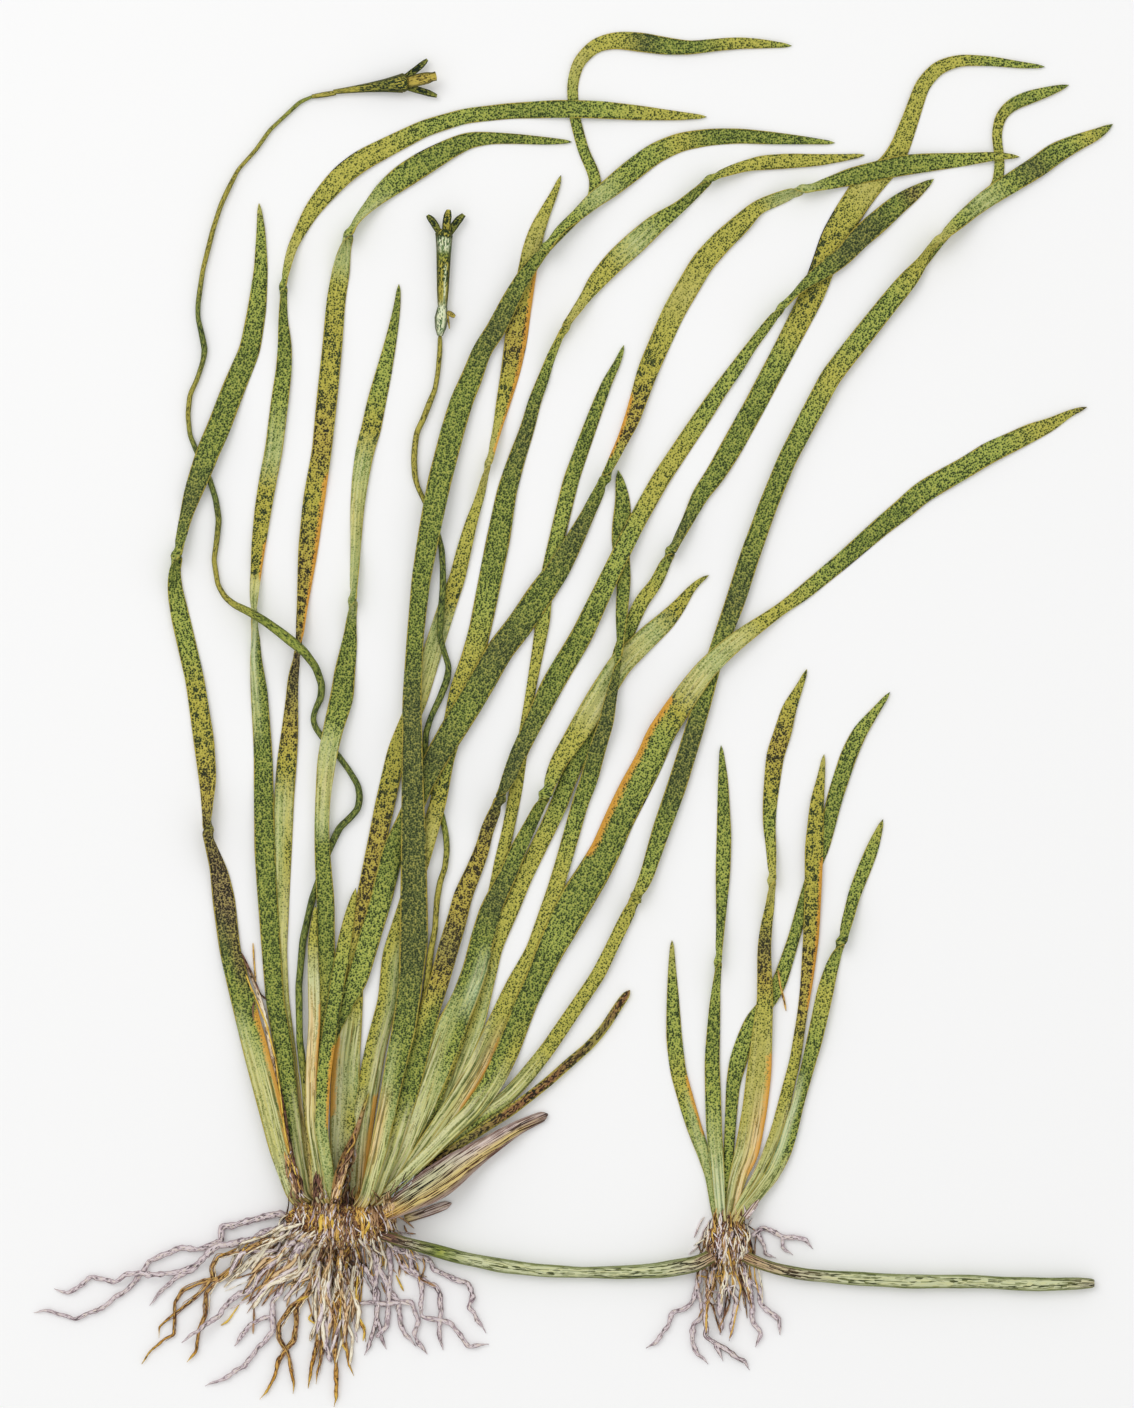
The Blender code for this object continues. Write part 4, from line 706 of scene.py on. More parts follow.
LEAF_N = [
    (934, 179, 3), (913, 194, 16), (897, 205, 20), (877, 223, 23), (858, 239, 22), (845, 255, 19),
    (825, 270, 18), (810, 280, 13), (795, 293, 8), (780, 309, 6, TWIST), (765, 328, 9),
    (750, 348, 11), (735, 370, 14), (720, 390, 15), (707, 410, 17), (690, 435, 18), (660, 480, 18),
    (635, 525, 18), (608, 580, 19), (582, 635, 22), (552, 685, 23), (530, 730, 18), (518, 755, 17),
    (508, 780, 14), (500, 800, 9, TWIST), (487, 830, 12), (482, 850, 15), (472, 875, 17),
    (463, 895, 19), (457, 920, 20), (448, 950, 21), (440, 980, 20), (430, 1010, 20), (421, 1040, 22),
    (413, 1070, 24), (404, 1105, 22), (391, 1150, 18), (374, 1199, 11)]
LEAF_P = [
    (618, 470, 3), (620, 482, 10), (623, 500, 15), (622, 520, 19), (620, 540, 18), (622, 560, 16),
    (624, 580, 14), (621, 620, 12), (620, 640, 9), (618, 660, 5, TWIST), (615, 680, 8),
    (610, 700, 13), (607, 720, 15), (597, 750, 17), (589, 780, 18), (581, 800, 17), (564, 860, 16),
    (555, 890, 16), (545, 920, 17), (534, 950, 16), (517, 985, 22), (495, 1030, 22), (479, 1065, 23),
    (454, 1105, 19), (425, 1145, 16), (389, 1198, 11)]
LEAF_R = [
    (1045, 67, 3), (1020, 65, 7), (990, 61, 10), (960, 60, 12), (938, 67, 14), (922, 85, 15),
    (912, 115, 17), (900, 148, 20), (890, 165, 22), (866, 187, 29), (849, 212, 28), (834, 237, 27),
    (823, 267, 25), (811, 298, 24), (782, 354, 22), (753, 409, 22), (730, 450, 22), (715, 475, 20),
    (700, 495, 17), (688, 520, 12), (670, 552, 9, TWIST), (655, 585, 13), (642, 600, 15),
    (622, 645, 14), (612, 680, 14), (600, 710, 14), (588, 740, 15), (568, 780, 17), (561, 800, 18),
    (547, 830, 17), (537, 850, 17), (523, 880, 16), (513, 905, 16), (494, 947, 17), (477, 1020, 18),
    (461, 1060, 20), (441, 1110, 17), (415, 1150, 13), (385, 1196, 11)]
LEAF_S = [
    (709, 575, 3), (700, 580, 5), (690, 590, 8), (680, 605, 14), (665, 622, 20), (650, 635, 22),
    (620, 664, 24), (598, 699, 25), (583, 724, 24), (570, 744, 20), (557, 764, 17),
    (545, 795, 11, TWIST), (530, 825, 13), (520, 845, 16), (510, 870, 18), (500, 890, 20),
    (490, 910, 22), (482, 940, 24), (475, 970, 25), (464, 1000, 26), (450, 1030, 31), (436, 1070, 29),
    (421, 1110, 22), (405, 1150, 16), (379, 1198, 12)]
LEAF_T = [
    (1087, 407, 3), (1070, 413, 7), (1050, 425, 14), (1030, 433, 19), (1010, 443, 20), (990, 452, 22),
    (966, 467, 21), (941, 481, 22), (921, 493, 22), (902, 510, 21), (882, 526, 19), (842, 561, 17),
    (802, 594, 15), (781, 609, 12), (760, 624, 15), (740, 638, 18), (720, 655, 20), (705, 670, 22),
    (690, 690, 24), (675, 712, 26), (660, 735, 28), (650, 760, 29), (634, 790, 31), (619, 820, 30),
    (606, 850, 30), (592, 875, 33), (576, 900, 35), (563, 925, 32), (550, 950, 28), (539, 975, 24),
    (527, 1000, 23), (508, 1050, 24), (494, 1080, 22), (475, 1108, 20), (445, 1137, 15),
    (384, 1196, 12)]
LEAF_U = [
    (1113, 124, 3), (1098, 134, 12), (1080, 141, 16), (1055, 153, 22), (1040, 165, 22),
    (1000, 190, 20), (985, 200, 18), (970, 212, 16), (955, 225, 12), (940, 239, 6, TWIST),
    (927, 250, 8), (920, 265, 14), (908, 280, 19), (892, 299, 20), (861, 338, 21), (831, 376, 21),
    (808, 419, 20), (787, 459, 19), (768, 505, 19), (750, 555, 20), (734, 605, 20), (717, 650, 16),
    (703, 700, 18), (694, 730, 19), (677, 785, 20), (661, 830, 18), (646, 878, 14),
    (635, 900, 11, TWIST), (625, 920, 12), (598, 975, 14), (581, 1000, 14), (547, 1050, 15),
    (523, 1080, 16), (505, 1099, 15), (476, 1118, 14), (440, 1147, 13), (408, 1173, 12),
    (384, 1197, 11)]
YOUNG_LEFT = [
    (316, 905, 3), (313, 940, 10), (314, 980, 12), (315, 1020, 12), (312, 1070, 12), (312, 1120, 12),
    (324, 1197, 9)]
YOUNG_RIGHT = [
    (356, 888, 3), (351, 910, 10), (345, 940, 14), (338, 980, 15), (330, 1030, 15), (324, 1080, 14),
    (322, 1130, 13), (334, 1198, 10)]
DEAD_LEFT = [
    (240, 952, 3), (256, 985, 7), (266, 1020, 8), (276, 1080, 8), (286, 1130, 9), (295, 1170, 9),
    (302, 1198, 9)]
DEAD_MIDDLE = [
    (369, 1092, 3), (361, 1117, 4), (356, 1134, 6), (348, 1150, 9), (342, 1167, 10), (338, 1183, 11),
    (337, 1201, 10)]
STUB = [
    (630, 990, 7), (620, 1003, 9), (605, 1027, 9), (590, 1045, 9), (570, 1062, 10), (550, 1080, 10),
    (530, 1096, 10), (510, 1111, 11), (490, 1124, 10), (467, 1139, 9), (445, 1153, 8),
    (418, 1172, 8), (390, 1199, 8)]
OLD_SHEATH = [
    (548, 1114, 10), (520, 1126, 14), (500, 1138, 18), (480, 1151, 23), (460, 1164, 30),
    (444, 1176, 35), (430, 1185, 34), (415, 1194, 28), (400, 1204, 20), (386, 1211, 13)]
SMALL_SHEATH = [(452, 1203, 7), (440, 1207, 10), (425, 1213, 9), (405, 1219, 9)]

DAUGHTER_1 = [
    (721, 745, 3), (723, 778, 10), (724, 835, 15), (723, 870, 15), (721, 915, 10),
    (718, 961, 6, TWIST), (715, 1000, 11), (713, 1038, 14), (712, 1061, 15), (713, 1095, 16),
    (714, 1130, 16), (717, 1164, 14), (721, 1217, 9)]
DAUGHTER_2 = [
    (672, 940, 3), (672, 969, 8), (673, 1003, 13), (674, 1038, 16), (678, 1072, 16), (688, 1107, 16),
    (695, 1130, 15), (703, 1152, 13), (710, 1175, 10), (716, 1217, 8)]
DAUGHTER_3 = [
    (807, 669, 3), (800, 686, 7), (789, 708, 15), (783, 732, 18), (775, 755, 18), (770, 801, 15),
    (769, 824, 13), (771, 847, 10), (772, 880, 7, TWIST), (770, 904, 9), (766, 927, 12),
    (764, 950, 14), (765, 1000, 16), (759, 1072, 25), (755, 1107, 25), (747, 1152, 25),
    (738, 1175, 18), (729, 1217, 11)]
DAUGHTER_4 = [
    (890, 692, 3), (877, 709, 8), (860, 731, 15), (849, 754, 17), (834, 800, 16), (824, 847, 12),
    (812, 875, 12), (804, 900, 11), (794, 938, 12), (779, 984, 15), (770, 1000, 15), (752, 1020, 15),
    (745, 1038, 16), (738, 1061, 18), (733, 1084, 14), (730, 1130, 11), (725, 1217, 8)]
DAUGHTER_5 = [
    (824, 754, 3), (821, 778, 8), (817, 801, 14), (814, 847, 19), (813, 892, 17), (811, 938, 16),
    (806, 988, 12), (802, 1015, 10), (795, 1061, 11), (789, 1084, 12), (778, 1130, 14),
    (770, 1152, 14), (760, 1175, 14), (734, 1217, 10)]
DAUGHTER_6 = [
    (883, 819, 3), (873, 847, 13), (864, 870, 14), (855, 892, 13), (841, 942, 8, TWIST),
    (832, 965, 13), (825, 992, 17), (815, 1038, 16), (809, 1061, 14), (797, 1107, 12),
    (790, 1130, 16), (783, 1152, 17), (772, 1175, 15), (739, 1216, 10)]
DAUGHTER_SHEATH = [(759, 1198, 3), (753, 1206, 6), (745, 1217, 7)]

# %% [markdown]
# The blades are coloured leaf by leaf, because no two are alike: young ones are dark, older ones
# go olive and spotted, and all pale towards the base where they were never in the light. A dress
# notes a tone at a few places on the leaf; between them the tones run into each other. Orange
# margins, on the left or the right, are noted as a stretch between two heights in the plan.

# %% Dress of the leaves
DRESS = {
    "leaf_a": [
        (259, 205, "straw"), (260, 225, "green"), (259, 300, "green"), (247, 350, "dark"),
        (210, 450, "dark"), (190, 500, "deep"), (178, 550, "dark"), (174, 575, "dark"),
        (178, 605, "green"), (188, 650, "green"), (196, 690, "spotted"), (203, 735, "spotted"),
        (209, 800, "rust"), (209, 830, "brown"), (216, 860, "umber"), (224, 905, "umber"),
        (230, 945, "deep", "brown"), (236, 970, "dark", "brown"), (244, 1000, "dark"),
        (250, 1030, "cool", "green"), (258, 1060, "pale", "cool"), (266, 1090, "pale", "base"),
        (281, 1150, "pale", "base"), (288, 1175, "cream", "tan")],
    "leaf_b": [
        (700, 117, "olive"), (650, 114, "olive"), (605, 110, "green"), (520, 111, "dark"),
        (470, 116, "green"), (425, 128, "green"), (385, 148, "olive"), (300, 232, "olive"),
        (290, 255, "straw"), (284, 280, "green"), (283, 310, "dark"), (285, 350, "dark"),
        (280, 400, "green"), (272, 455, "cool"), (267, 490, "spotted"), (259, 574, "spotted"),
        # From 640 to 715 the right half is noted dark: painted shade on that side of the fold, with the
        # left half teal and cool.
        (258, 584, "pale"), (256, 606, "cool"), (256, 640, "teal", "dark"), (262, 715, "cool", "dark"),
        (263, 750, "dark"), (280, 1020, "dark"), (288, 1080, "dark", "green"),
        (296, 1130, "dark", "base"), (300, 1160, "base")],
    "leaf_c": [
        (570, 142, "green"), (520, 139, "dark"), (425, 165, "dark"), (395, 187, "green"),
        (362, 212, "cool"), (349, 232, "green"), (345, 248, "cool"), (343, 262, "cool"),
        (338, 285, "olive"), (334, 330, "spotted"), (329, 380, "spotted"), (323, 440, "rust"),
        (314, 500, "spotted"), (307, 560, "rust"), (301, 620, "rust"), (298, 655, "umber"),
        (294, 690, "brown"), (290, 730, "rust"), (286, 770, "spotted"), (284, 805, "cool", "pale"),
        (283, 850, "cool", "olive"), (281, 950, "pale"), (287, 1040, "pale"), (296, 1110, "peach"),
        (304, 1160, "straw")],
    "leaf_d": [
        (399, 285, "dark"), (396, 315, "dark"), (389, 350, "green"), (380, 390, "green"),
        (371, 430, "spotted"), (363, 465, "cool"), (357, 520, "pale"), (355, 560, "cool"),
        (353, 600, "cool"), (351, 625, "dark"), (342, 700, "dark"), (337, 722, "green"),
        (331, 745, "cool"), (325, 785, "pale"), (322, 825, "cool"), (323, 845, "dark"),
        (326, 950, "dark"), (324, 1000, "olive", "dark"), (320, 1050, "dark"), (317, 1110, "dark"),
        (317, 1150, "olive"), (319, 1185, "cream")],
    "leaf_f": [
        (830, 143, "green"), (780, 139, "dark"), (710, 137, "dark"), (680, 142, "olive"),
        (655, 153, "green"), (625, 176, "green"), (600, 195, "cool"), (575, 218, "green"),
        (548, 246, "green"), (530, 268, "dark"), (496, 330, "deep"), (470, 385, "dark"),
        (415, 640, "dark"), (412, 700, "deep"), (410, 960, "deep"), (403, 1030, "dark"),
        (396, 1080, "cool", "dark"), (389, 1115, "peach", "cool"), (381, 1150, "peach", "base"),
        (375, 1180, "base")],
    "leaf_g": [
        (790, 46, "green"), (760, 44, "olive"), (735, 43, "olive"), (700, 46, "dark"), (665, 44, "dark"),
        (645, 41, "deep"), (622, 39, "olive"), (596, 44, "olive"), (578, 62, "straw"),
        (574, 110, "green"), (594, 200, "green"), (511, 300, "deep"), (412, 860, "deep"),
        (391, 1090, "dark"), (379, 1150, "pale")],
    "leaf_h": [
        (561, 176, "olive"), (548, 207, "olive"), (533, 245, "straw"), (527, 270, "olive"),
        (522, 300, "spotted"), (516, 345, "rust"), (508, 385, "spotted"), (500, 415, "olive"),
        (492, 445, "straw"), (484, 482, "straw"), (476, 510, "olive"), (464, 550, "olive"),
        (449, 600, "spotted"), (440, 630, "cool"), (425, 680, "pale"), (405, 730, "olive"),
        (390, 780, "spotted"), (378, 835, "rust"), (360, 920, "rust"), (354, 955, "olive"),
        (350, 1005, "olive"), (347, 1035, "base"), (344, 1080, "cream", "cool"),
        (342, 1120, "cream", "olive"), (342, 1160, "cream")],
    "leaf_j": [
        (1018, 157, "olive"), (960, 160, "green"), (900, 166, "dark"), (850, 177, "dark"),
        (828, 183, "green"), (800, 190, "cool"), (780, 197, "cool"), (758, 206, "olive"),
        (700, 262, "olive"), (680, 295, "straw"), (665, 328, "olive"), (648, 370, "spotted"),
        (635, 410, "rust"), (624, 438, "rust"), (612, 466, "green"), (602, 487, "dark"),
        (580, 530, "deep"), (540, 595, "dark"), (500, 650, "deep"), (465, 710, "dark"),
        (435, 760, "deep"), (408, 820, "dark"), (393, 850, "dark"), (375, 920, "green"),
        (358, 980, "green"), (346, 1020, "dark"), (333, 1060, "deep"), (326, 1100, "dark"),
        (320, 1135, "cool"), (322, 1170, "base")],
    "leaf_k": [
        (1068, 86, "dark"), (1040, 94, "green"), (1015, 103, "dark"), (1000, 120, "olive"),
        (985, 200, "green"), (735, 605, "deep"), (635, 900, "dark"), (443, 1155, "pale")],
    "leaf_l": [
        (863, 155, "olive"), (735, 169, "olive"), (705, 182, "dark"), (685, 202, "dark"),
        (665, 223, "green"), (640, 247, "cool"), (615, 270, "olive"), (595, 290, "olive"),
        (575, 315, "straw"), (563, 332, "olive"), (552, 357, "green"), (543, 380, "dark"),
        (525, 440, "deep"), (508, 500, "dark"), (495, 560, "dark"), (487, 610, "green"),
        (476, 655, "olive"), (462, 692, "spotted"), (450, 750, "green"), (442, 800, "spotted"),
        (434, 835, "straw"), (420, 880, "olive"), (405, 930, "olive"), (391, 960, "olive", "cool"),
        (388, 1000, "olive", "cool"), (380, 1040, "olive", "base"), (370, 1085, "olive", "base"),
        (362, 1120, "cream", "base"), (356, 1165, "cream", "peach")],
    "leaf_m": [
        (624, 346, "green"), (610, 377, "dark"), (578, 460, "dark"), (565, 505, "green"),
        (544, 605, "green"), (538, 650, "olive"), (490, 910, "olive"), (470, 1000, "green"),
        (450, 1060, "cool", "olive"), (430, 1105, "dark"), (410, 1150, "base")],
    "leaf_n": [
        (932, 181, "green"), (915, 195, "brown"), (900, 207, "dark"), (870, 233, "deep"),
        (845, 255, "deep"), (820, 272, "dark"), (795, 293, "dark"), (780, 309, "green"),
        (707, 410, "green"), (680, 450, "olive"), (650, 500, "olive"), (630, 535, "green"),
        (607, 580, "green"), (580, 635, "dark"), (550, 685, "dark"), (518, 755, "deep"),
        (503, 792, "deep"), (492, 818, "brown"), (482, 850, "rust"), (460, 910, "rust"),
        (448, 950, "brown"), (440, 980, "rust"), (428, 1015, "olive", "dark"), (415, 1055, "dark"),
        (405, 1095, "dark"), (395, 1130, "olive", "base"), (384, 1165, "base")],
    "leaf_p": [
        (618, 471, "green"), (622, 500, "dark"), (619, 655, "dark"), (612, 695, "deep"),
        (600, 740, "deep"), (586, 785, "dark"), (574, 825, "green"), (560, 875, "olive"),
        (505, 1015, "olive"), (480, 1065, "base", "peach"), (440, 1125, "base")],
    "leaf_r": [
        (1043, 67, "green"), (990, 61, "green"), (955, 60, "olive"), (888, 168, "olive"),
        (870, 190, "straw"), (855, 215, "olive"), (838, 245, "spotted"), (815, 300, "spotted"),
        (797, 335, "olive"), (780, 362, "green"), (755, 410, "dark"), (700, 495, "dark"),
        (680, 535, "deep"), (665, 565, "green"), (650, 590, "olive"), (630, 630, "green"),
        (612, 680, "dark"), (575, 768, "dark"), (561, 800, "green"), (540, 845, "olive"),
        (500, 950, "olive"), (478, 1020, "olive", "cool"), (455, 1075, "base"),
        (430, 1120, "green", "base")],
    "leaf_s": [
        (708, 576, "olive"), (690, 590, "olive"), (675, 610, "spotted"), (655, 631, "cool"),
        (635, 652, "pale"), (615, 678, "cool"), (595, 710, "pale"), (578, 735, "olive"),
        (560, 765, "olive"), (548, 790, "green"), (535, 815, "dark"), (515, 858, "dark"),
        (495, 900, "deep"), (482, 940, "dark"), (470, 985, "dark", "teal"), (458, 1020, "cool", "dark"),
        (446, 1055, "base", "green"), (434, 1085, "base", "cool"), (420, 1115, "cream", "base"),
        (400, 1160, "base")],
    "leaf_t": [
        (1086, 407, "brown"), (1070, 413, "olive"), (1040, 429, "olive"), (1000, 447, "green"),
        (940, 478, "green"), (900, 508, "dark"), (860, 540, "dark"), (820, 575, "green"),
        (785, 604, "olive"), (760, 622, "olive"), (738, 640, "pale"), (715, 660, "cool"),
        (696, 682, "pale"), (676, 710, "spotted"), (660, 735, "green"), (640, 775, "green"),
        (618, 820, "dark"), (578, 900, "dark"), (560, 940, "green"), (545, 975, "dark"),
        (530, 1010, "dark"), (510, 1055, "dark", "olive"), (490, 1085, "green", "base"),
        (465, 1115, "base"), (440, 1140, "cream", "base")],
    "leaf_u": [
        (1112, 125, "dark"), (1090, 138, "olive"), (1068, 146, "green"), (1050, 156, "dark"),
        (1035, 168, "deep"), (1010, 184, "green"), (985, 201, "cool"), (960, 221, "green"),
        (941, 238, "straw"), (928, 250, "olive"), (915, 272, "olive"), (895, 300, "green"),
        (865, 340, "green"), (835, 378, "olive"), (812, 420, "green"), (790, 460, "dark"),
        (760, 532, "dark"), (735, 605, "deep"), (717, 650, "dark"), (705, 695, "dark"),
        (695, 735, "deep"), (680, 785, "deep"), (666, 825, "dark"), (650, 868, "green"),
        (635, 900, "olive"), (547, 1050, "olive"), (515, 1090, "base"), (480, 1125, "cream", "green"),
        (443, 1155, "cream")],
    "young_leaf_left": [
        (316, 906, "olive"), (313, 940, "olive"), (314, 980, "cream"), (315, 1020, "peach", "cream"),
        (312, 1080, "peach"), (316, 1150, "base")],
    "young_leaf_right": [
        (356, 889, "olive"), (349, 920, "olive"), (340, 970, "green"), (331, 1025, "dark"),
        (324, 1090, "green"), (324, 1150, "cool")],
    "daughter_leaf_1": [
        (721, 746, "green"), (724, 800, "dark"), (724, 870, "green"), (721, 915, "dark"),
        (718, 955, "green"), (716, 990, "green"), (713, 1040, "dark"), (713, 1100, "green"),
        (715, 1150, "cool"), (717, 1180, "teal")],
    "daughter_leaf_2": [
        (672, 941, "straw"), (673, 985, "green"), (675, 1045, "green"), (680, 1085, "olive"),
        (690, 1115, "green", "cool"), (703, 1152, "cool")],
    "daughter_leaf_3": [
        (806, 670, "olive"), (793, 705, "spotted"), (780, 747, "rust"), (771, 790, "spotted"),
        (769, 824, "green"), (771, 860, "olive"), (771, 890, "straw"), (768, 915, "spotted"),
        (764, 945, "brown"), (765, 980, "rust"), (765, 1005, "olive"), (764, 1050, "straw"),
        (760, 1080, "straw"), (750, 1125, "straw", "peach"), (742, 1160, "base", "peach")],
    "daughter_leaf_4": [
        (889, 693, "green"), (862, 732, "green"), (840, 790, "dark"), (800, 905, "dark"),
        (782, 975, "green"), (740, 1055, "green"), (733, 1090, "dark"), (730, 1140, "green")],
    "daughter_leaf_5": [
        (824, 755, "straw"), (820, 785, "spotted"), (812, 900, "spotted"), (809, 960, "rust"),
        (803, 1010, "rust"), (795, 1060, "olive"), (787, 1095, "olive"), (775, 1140, "straw", "base"),
        (760, 1175, "base")],
    "daughter_leaf_6": [
        (882, 820, "olive"), (873, 850, "green"), (858, 885, "green"), (843, 935, "dark"),
        (833, 965, "green"), (824, 995, "olive"), (815, 1040, "green"), (807, 1070, "dark"),
        (797, 1110, "teal", "dark"), (785, 1148, "teal", "green"), (768, 1180, "base")],
}
ORANGE_SIDES = {
    "leaf_c": [(1, 470, 650)],
    "leaf_b": [(1, 538, 582)],
    "leaf_h": [(1, 262, 455), (1, 880, 965), (-1, 1035, 1120)],
    "leaf_j": [(-1, 395, 462), (-1, 1050, 1120)],
    "leaf_t": [(-1, 700, 865)],
    "leaf_a": [(1, 1010, 1170)],
    "young_leaf_left": [(1, 1000, 1100)],
    "young_leaf_right": [(1, 1040, 1130)],
    "leaf_p": [(1, 1030, 1108)],
    "leaf_l": [(1, 1090, 1185)],
    "daughter_leaf_2": [(1, 1075, 1140)],
    "daughter_leaf_3": [(1, 1050, 1175)],
    "daughter_leaf_5": [(1, 855, 1012)],
}

# %% [markdown]
# Each leaf is its own piece. It starts from its tip and ends inside the rootstock: the last few
# trace units go on past the solid's end, so that no gap shows under the fibres there. The number
# beside each course is the phase of its waves, and every leaf shifts its grain by a step of its own.

# %% Leaves
HOME = (342, 1226, 0.008)
DAUGHTER_HOME = (727, 1243, 0.004)
AFLOAT = 160
GRAIN_STEP = 0.45
LEAVES = {
    "leaf_a": (LEAF_A, 2.2), "leaf_b": (LEAF_B, 0.2), "leaf_c": (LEAF_C, 4.5), "leaf_d": (LEAF_D, 3.2),
    "leaf_f": (LEAF_F, 1.7), "leaf_g": (LEAF_G, 5.5), "leaf_h": (LEAF_H, 0.5), "leaf_j": (LEAF_J, 2.5),
    "leaf_k": (LEAF_K, 2.0), "leaf_l": (LEAF_L, 1.5), "leaf_m": (LEAF_M, 2.0), "leaf_n": (LEAF_N, 3.5),
    "leaf_p": (LEAF_P, 4.0), "leaf_r": (LEAF_R, 1.0), "leaf_s": (LEAF_S, 3.0), "leaf_t": (LEAF_T, 5.0),
    "leaf_u": (LEAF_U, 0.0), "young_leaf_left": (YOUNG_LEFT, 4.2), "young_leaf_right": (YOUNG_RIGHT, 5.2),
    "daughter_leaf_1": (DAUGHTER_1, 5.4), "daughter_leaf_2": (DAUGHTER_2, 4.4),
    "daughter_leaf_3": (DAUGHTER_3, 1.4), "daughter_leaf_4": (DAUGHTER_4, 0.4),
    "daughter_leaf_5": (DAUGHTER_5, 2.4), "daughter_leaf_6": (DAUGHTER_6, 3.4),
}
OLIVE_LEAVES = ("leaf_h", "leaf_r", "leaf_c", "young_leaf_left", "young_leaf_right", "daughter_leaf_3",
                "daughter_leaf_5")


def orange_spans(name, points):
    """Stretches of orange margin as lengths along a leaf, from heights in the plan.

    They are looked for where the leaf has come down past the line above which its end lay afloat.
    """
    course = Course(points, SMOOTH)
    grown = course.s[course.down > AFLOAT][0] if course.down.max() > AFLOAT else 0
    low = course.s > grown
    spans = []
    for side, top, bottom in ORANGE_SIDES.get(name, ()):
        ends = [course.s[low][np.abs(course.down[low] - level).argmin()] for level in (top, bottom)]
        spans.append((side, *ends))
    return spans


for number, (leaf_name, (leaf_points, phase)) in enumerate(LEAVES.items()):
    leaf = Piece(leaf_name + "_blade")
    ribbon(leaf, leaf_name, leaf_points, phase, DRESS[leaf_name],
           orange=orange_spans(leaf_name, leaf_points), seed=GRAIN_STEP * number,
           home=DAUGHTER_HOME if leaf_name.startswith("daughter") else HOME)
    leaf.finish(BLADE, "blade_olive" if leaf_name in OLIVE_LEAVES else "blade_green", leaf_name)

# %% [markdown]
# Stalks, runners and roots are round. They share one kind of finish: a ground colour, lengthwise
# streaks of a darker one, and flanks that are darker again: painted shade where the round skin
# turns away, drawn like a pen outline. Which colours these are is noted along each part, as it is
# for the leaves.

# %% Finishes of round parts


def streaked_finish(name, gloss, flank_shade, share, dash=0.7, stretch=0.06, rough=0.6, lines=0.7, dots=2500):
    """Cells in lengthwise streaks, as on the blades, and flanks painted darker as shade, like a pen
    outline.

    Dash draws the cells out along the part, by one over it, and lines is how strong the streaks are.
    """
    finish = Finish(name, gloss)
    ground, ink = finish.layer("ground"), finish.layer("ink")
    density, across = finish.layer("ink", "Alpha"), finish.layer("across", "Fac")
    cell = finish.cells(finish.flat.stretched((dash, 1.0, 1.0)), dots, "Color").part(0)
    streak = finish.noise(finish.flat.stretched((stretch, 1.0, 1.0)), 2600, 2.0)
    cloud = finish.noise(finish.place, 210, 2.0)
    level = density + (cloud - 0.5) * 0.8 + (streak - 0.5) * lines * 2.0
    colour = finish.stipple(ground, ink, level, cell, 0.15)
    # painted shade: the flanks of a round part, where its skin turns away, are mixed toward the flank
    # colour
    edge = (across.size() + (cell - 0.5) * 0.3).step(0.62, 0.86)
    colour = colour.toward(flank_shade, edge * share)
    return finish.done(colour, rough + (cloud - 0.5) * 0.3, streak * 0.6 + cell * 0.3, 0.0001)


# The third value of each finish is the colour of its painted flank shade.
STALK = streaked_finish("stalk", 0.12, "4d5426", 0.5)
RUNNER_SKIN = streaked_finish("runner", 0.12, "5f6b2c", 0.75, 0.2, stretch=0.012, lines=1.6)
ROOT_PALE = streaked_finish("root pale", 0.1, "8f7c84", 0.55, 0.5, stretch=0.3, rough=0.7)
ROOT_BROWN = streaked_finish("root brown", 0.1, "4a2c1e", 0.9, 0.5, stretch=0.2, rough=0.75)
FIBRE = streaked_finish("fibre", 0.08, "5a3a28", 0.2, 0.3, stretch=0.2, rough=0.8)
STRAW = streaked_finish("straw", 0.08, "6a4530", 0.7, 0.3, stretch=0.1, rough=0.8)
SHEATH = streaked_finish("sheath", 0.1, "6a4c42", 0.6, 0.05, stretch=0.01, rough=0.75, lines=1.5,
                         dots=4200)
DEAD = streaked_finish("dead leaf", 0.1, "45302a", 0.5, 0.5, stretch=0.04, rough=0.8, lines=1.2)
STUB_SKIN = streaked_finish("stub", 0.1, "4d5426", 0.0, 0.6, stretch=0.05)

TONES.update({
    "stalk olive": ("aaa048", "7a7432", 0.36),
    "stalk green": ("8f9a44", "5c6b30", 0.42),
    "stalk dark": ("74803e", "4c5a2d", 0.50),
    "runner": ("ccd0a6", "7a8050", 0.38),
    "runner end": ("c6c0a0", "54442f", 0.48),
    "root pale": ("ded1d3", "aa969c", 0.34),
    "root tan": ("c9a062", "6e4628", 0.44),
    "root ochre": ("cf9a42", "8a5a2a", 0.40),
    "fibre brown": ("bc9470", "644430", 0.42),
    "fibre tan": ("e8c89c", "9a7048", 0.34),
    "fibre dark": ("846050", "43302a", 0.46),
    "fibre ochre": ("e2b660", "a87c42", 0.32),
    "fibre yellow": ("ecc75c", "c49a40", 0.28),
    "fibre purple": ("ece0df", "b49ea0", 0.30),
    "fibre cream": ("fbf3de", "cdb28a", 0.22),
    "sheath tan": ("dcc584", "5f432c", 0.42, 0.0, 0.6),
    "sheath grey": ("e0cfc6", "8a6a60", 0.34, 0.0, 0.6),
    "sheath white": ("cdcaa4", "4a4738", 0.42, 0.0, 0.6),
    "fibre blue": ("dfe6e2", "8a9aa0", 0.30),
    "dead": ("a8703e", "4b2f22", 0.48),
    "dead dark": ("8a6240", "3a261c", 0.52),
    "stub edge": ("b9b04c", "7f8038", 0.26),
    "tepal": ("b0a646", "2f4022", 0.50),
    "tepal ochre": ("bca84c", "7c6c30", 0.36),
    "rim": ("7c8038", "22301c", 0.58),
    "spathe": ("dfe4c0", "6f8a58", 0.38),
})


def tone(name):
    """The ground and the dark colour of one tone."""
    return np.array(tint(TONES[name][0])), np.array(tint(TONES[name][1], TONES[name][2]))


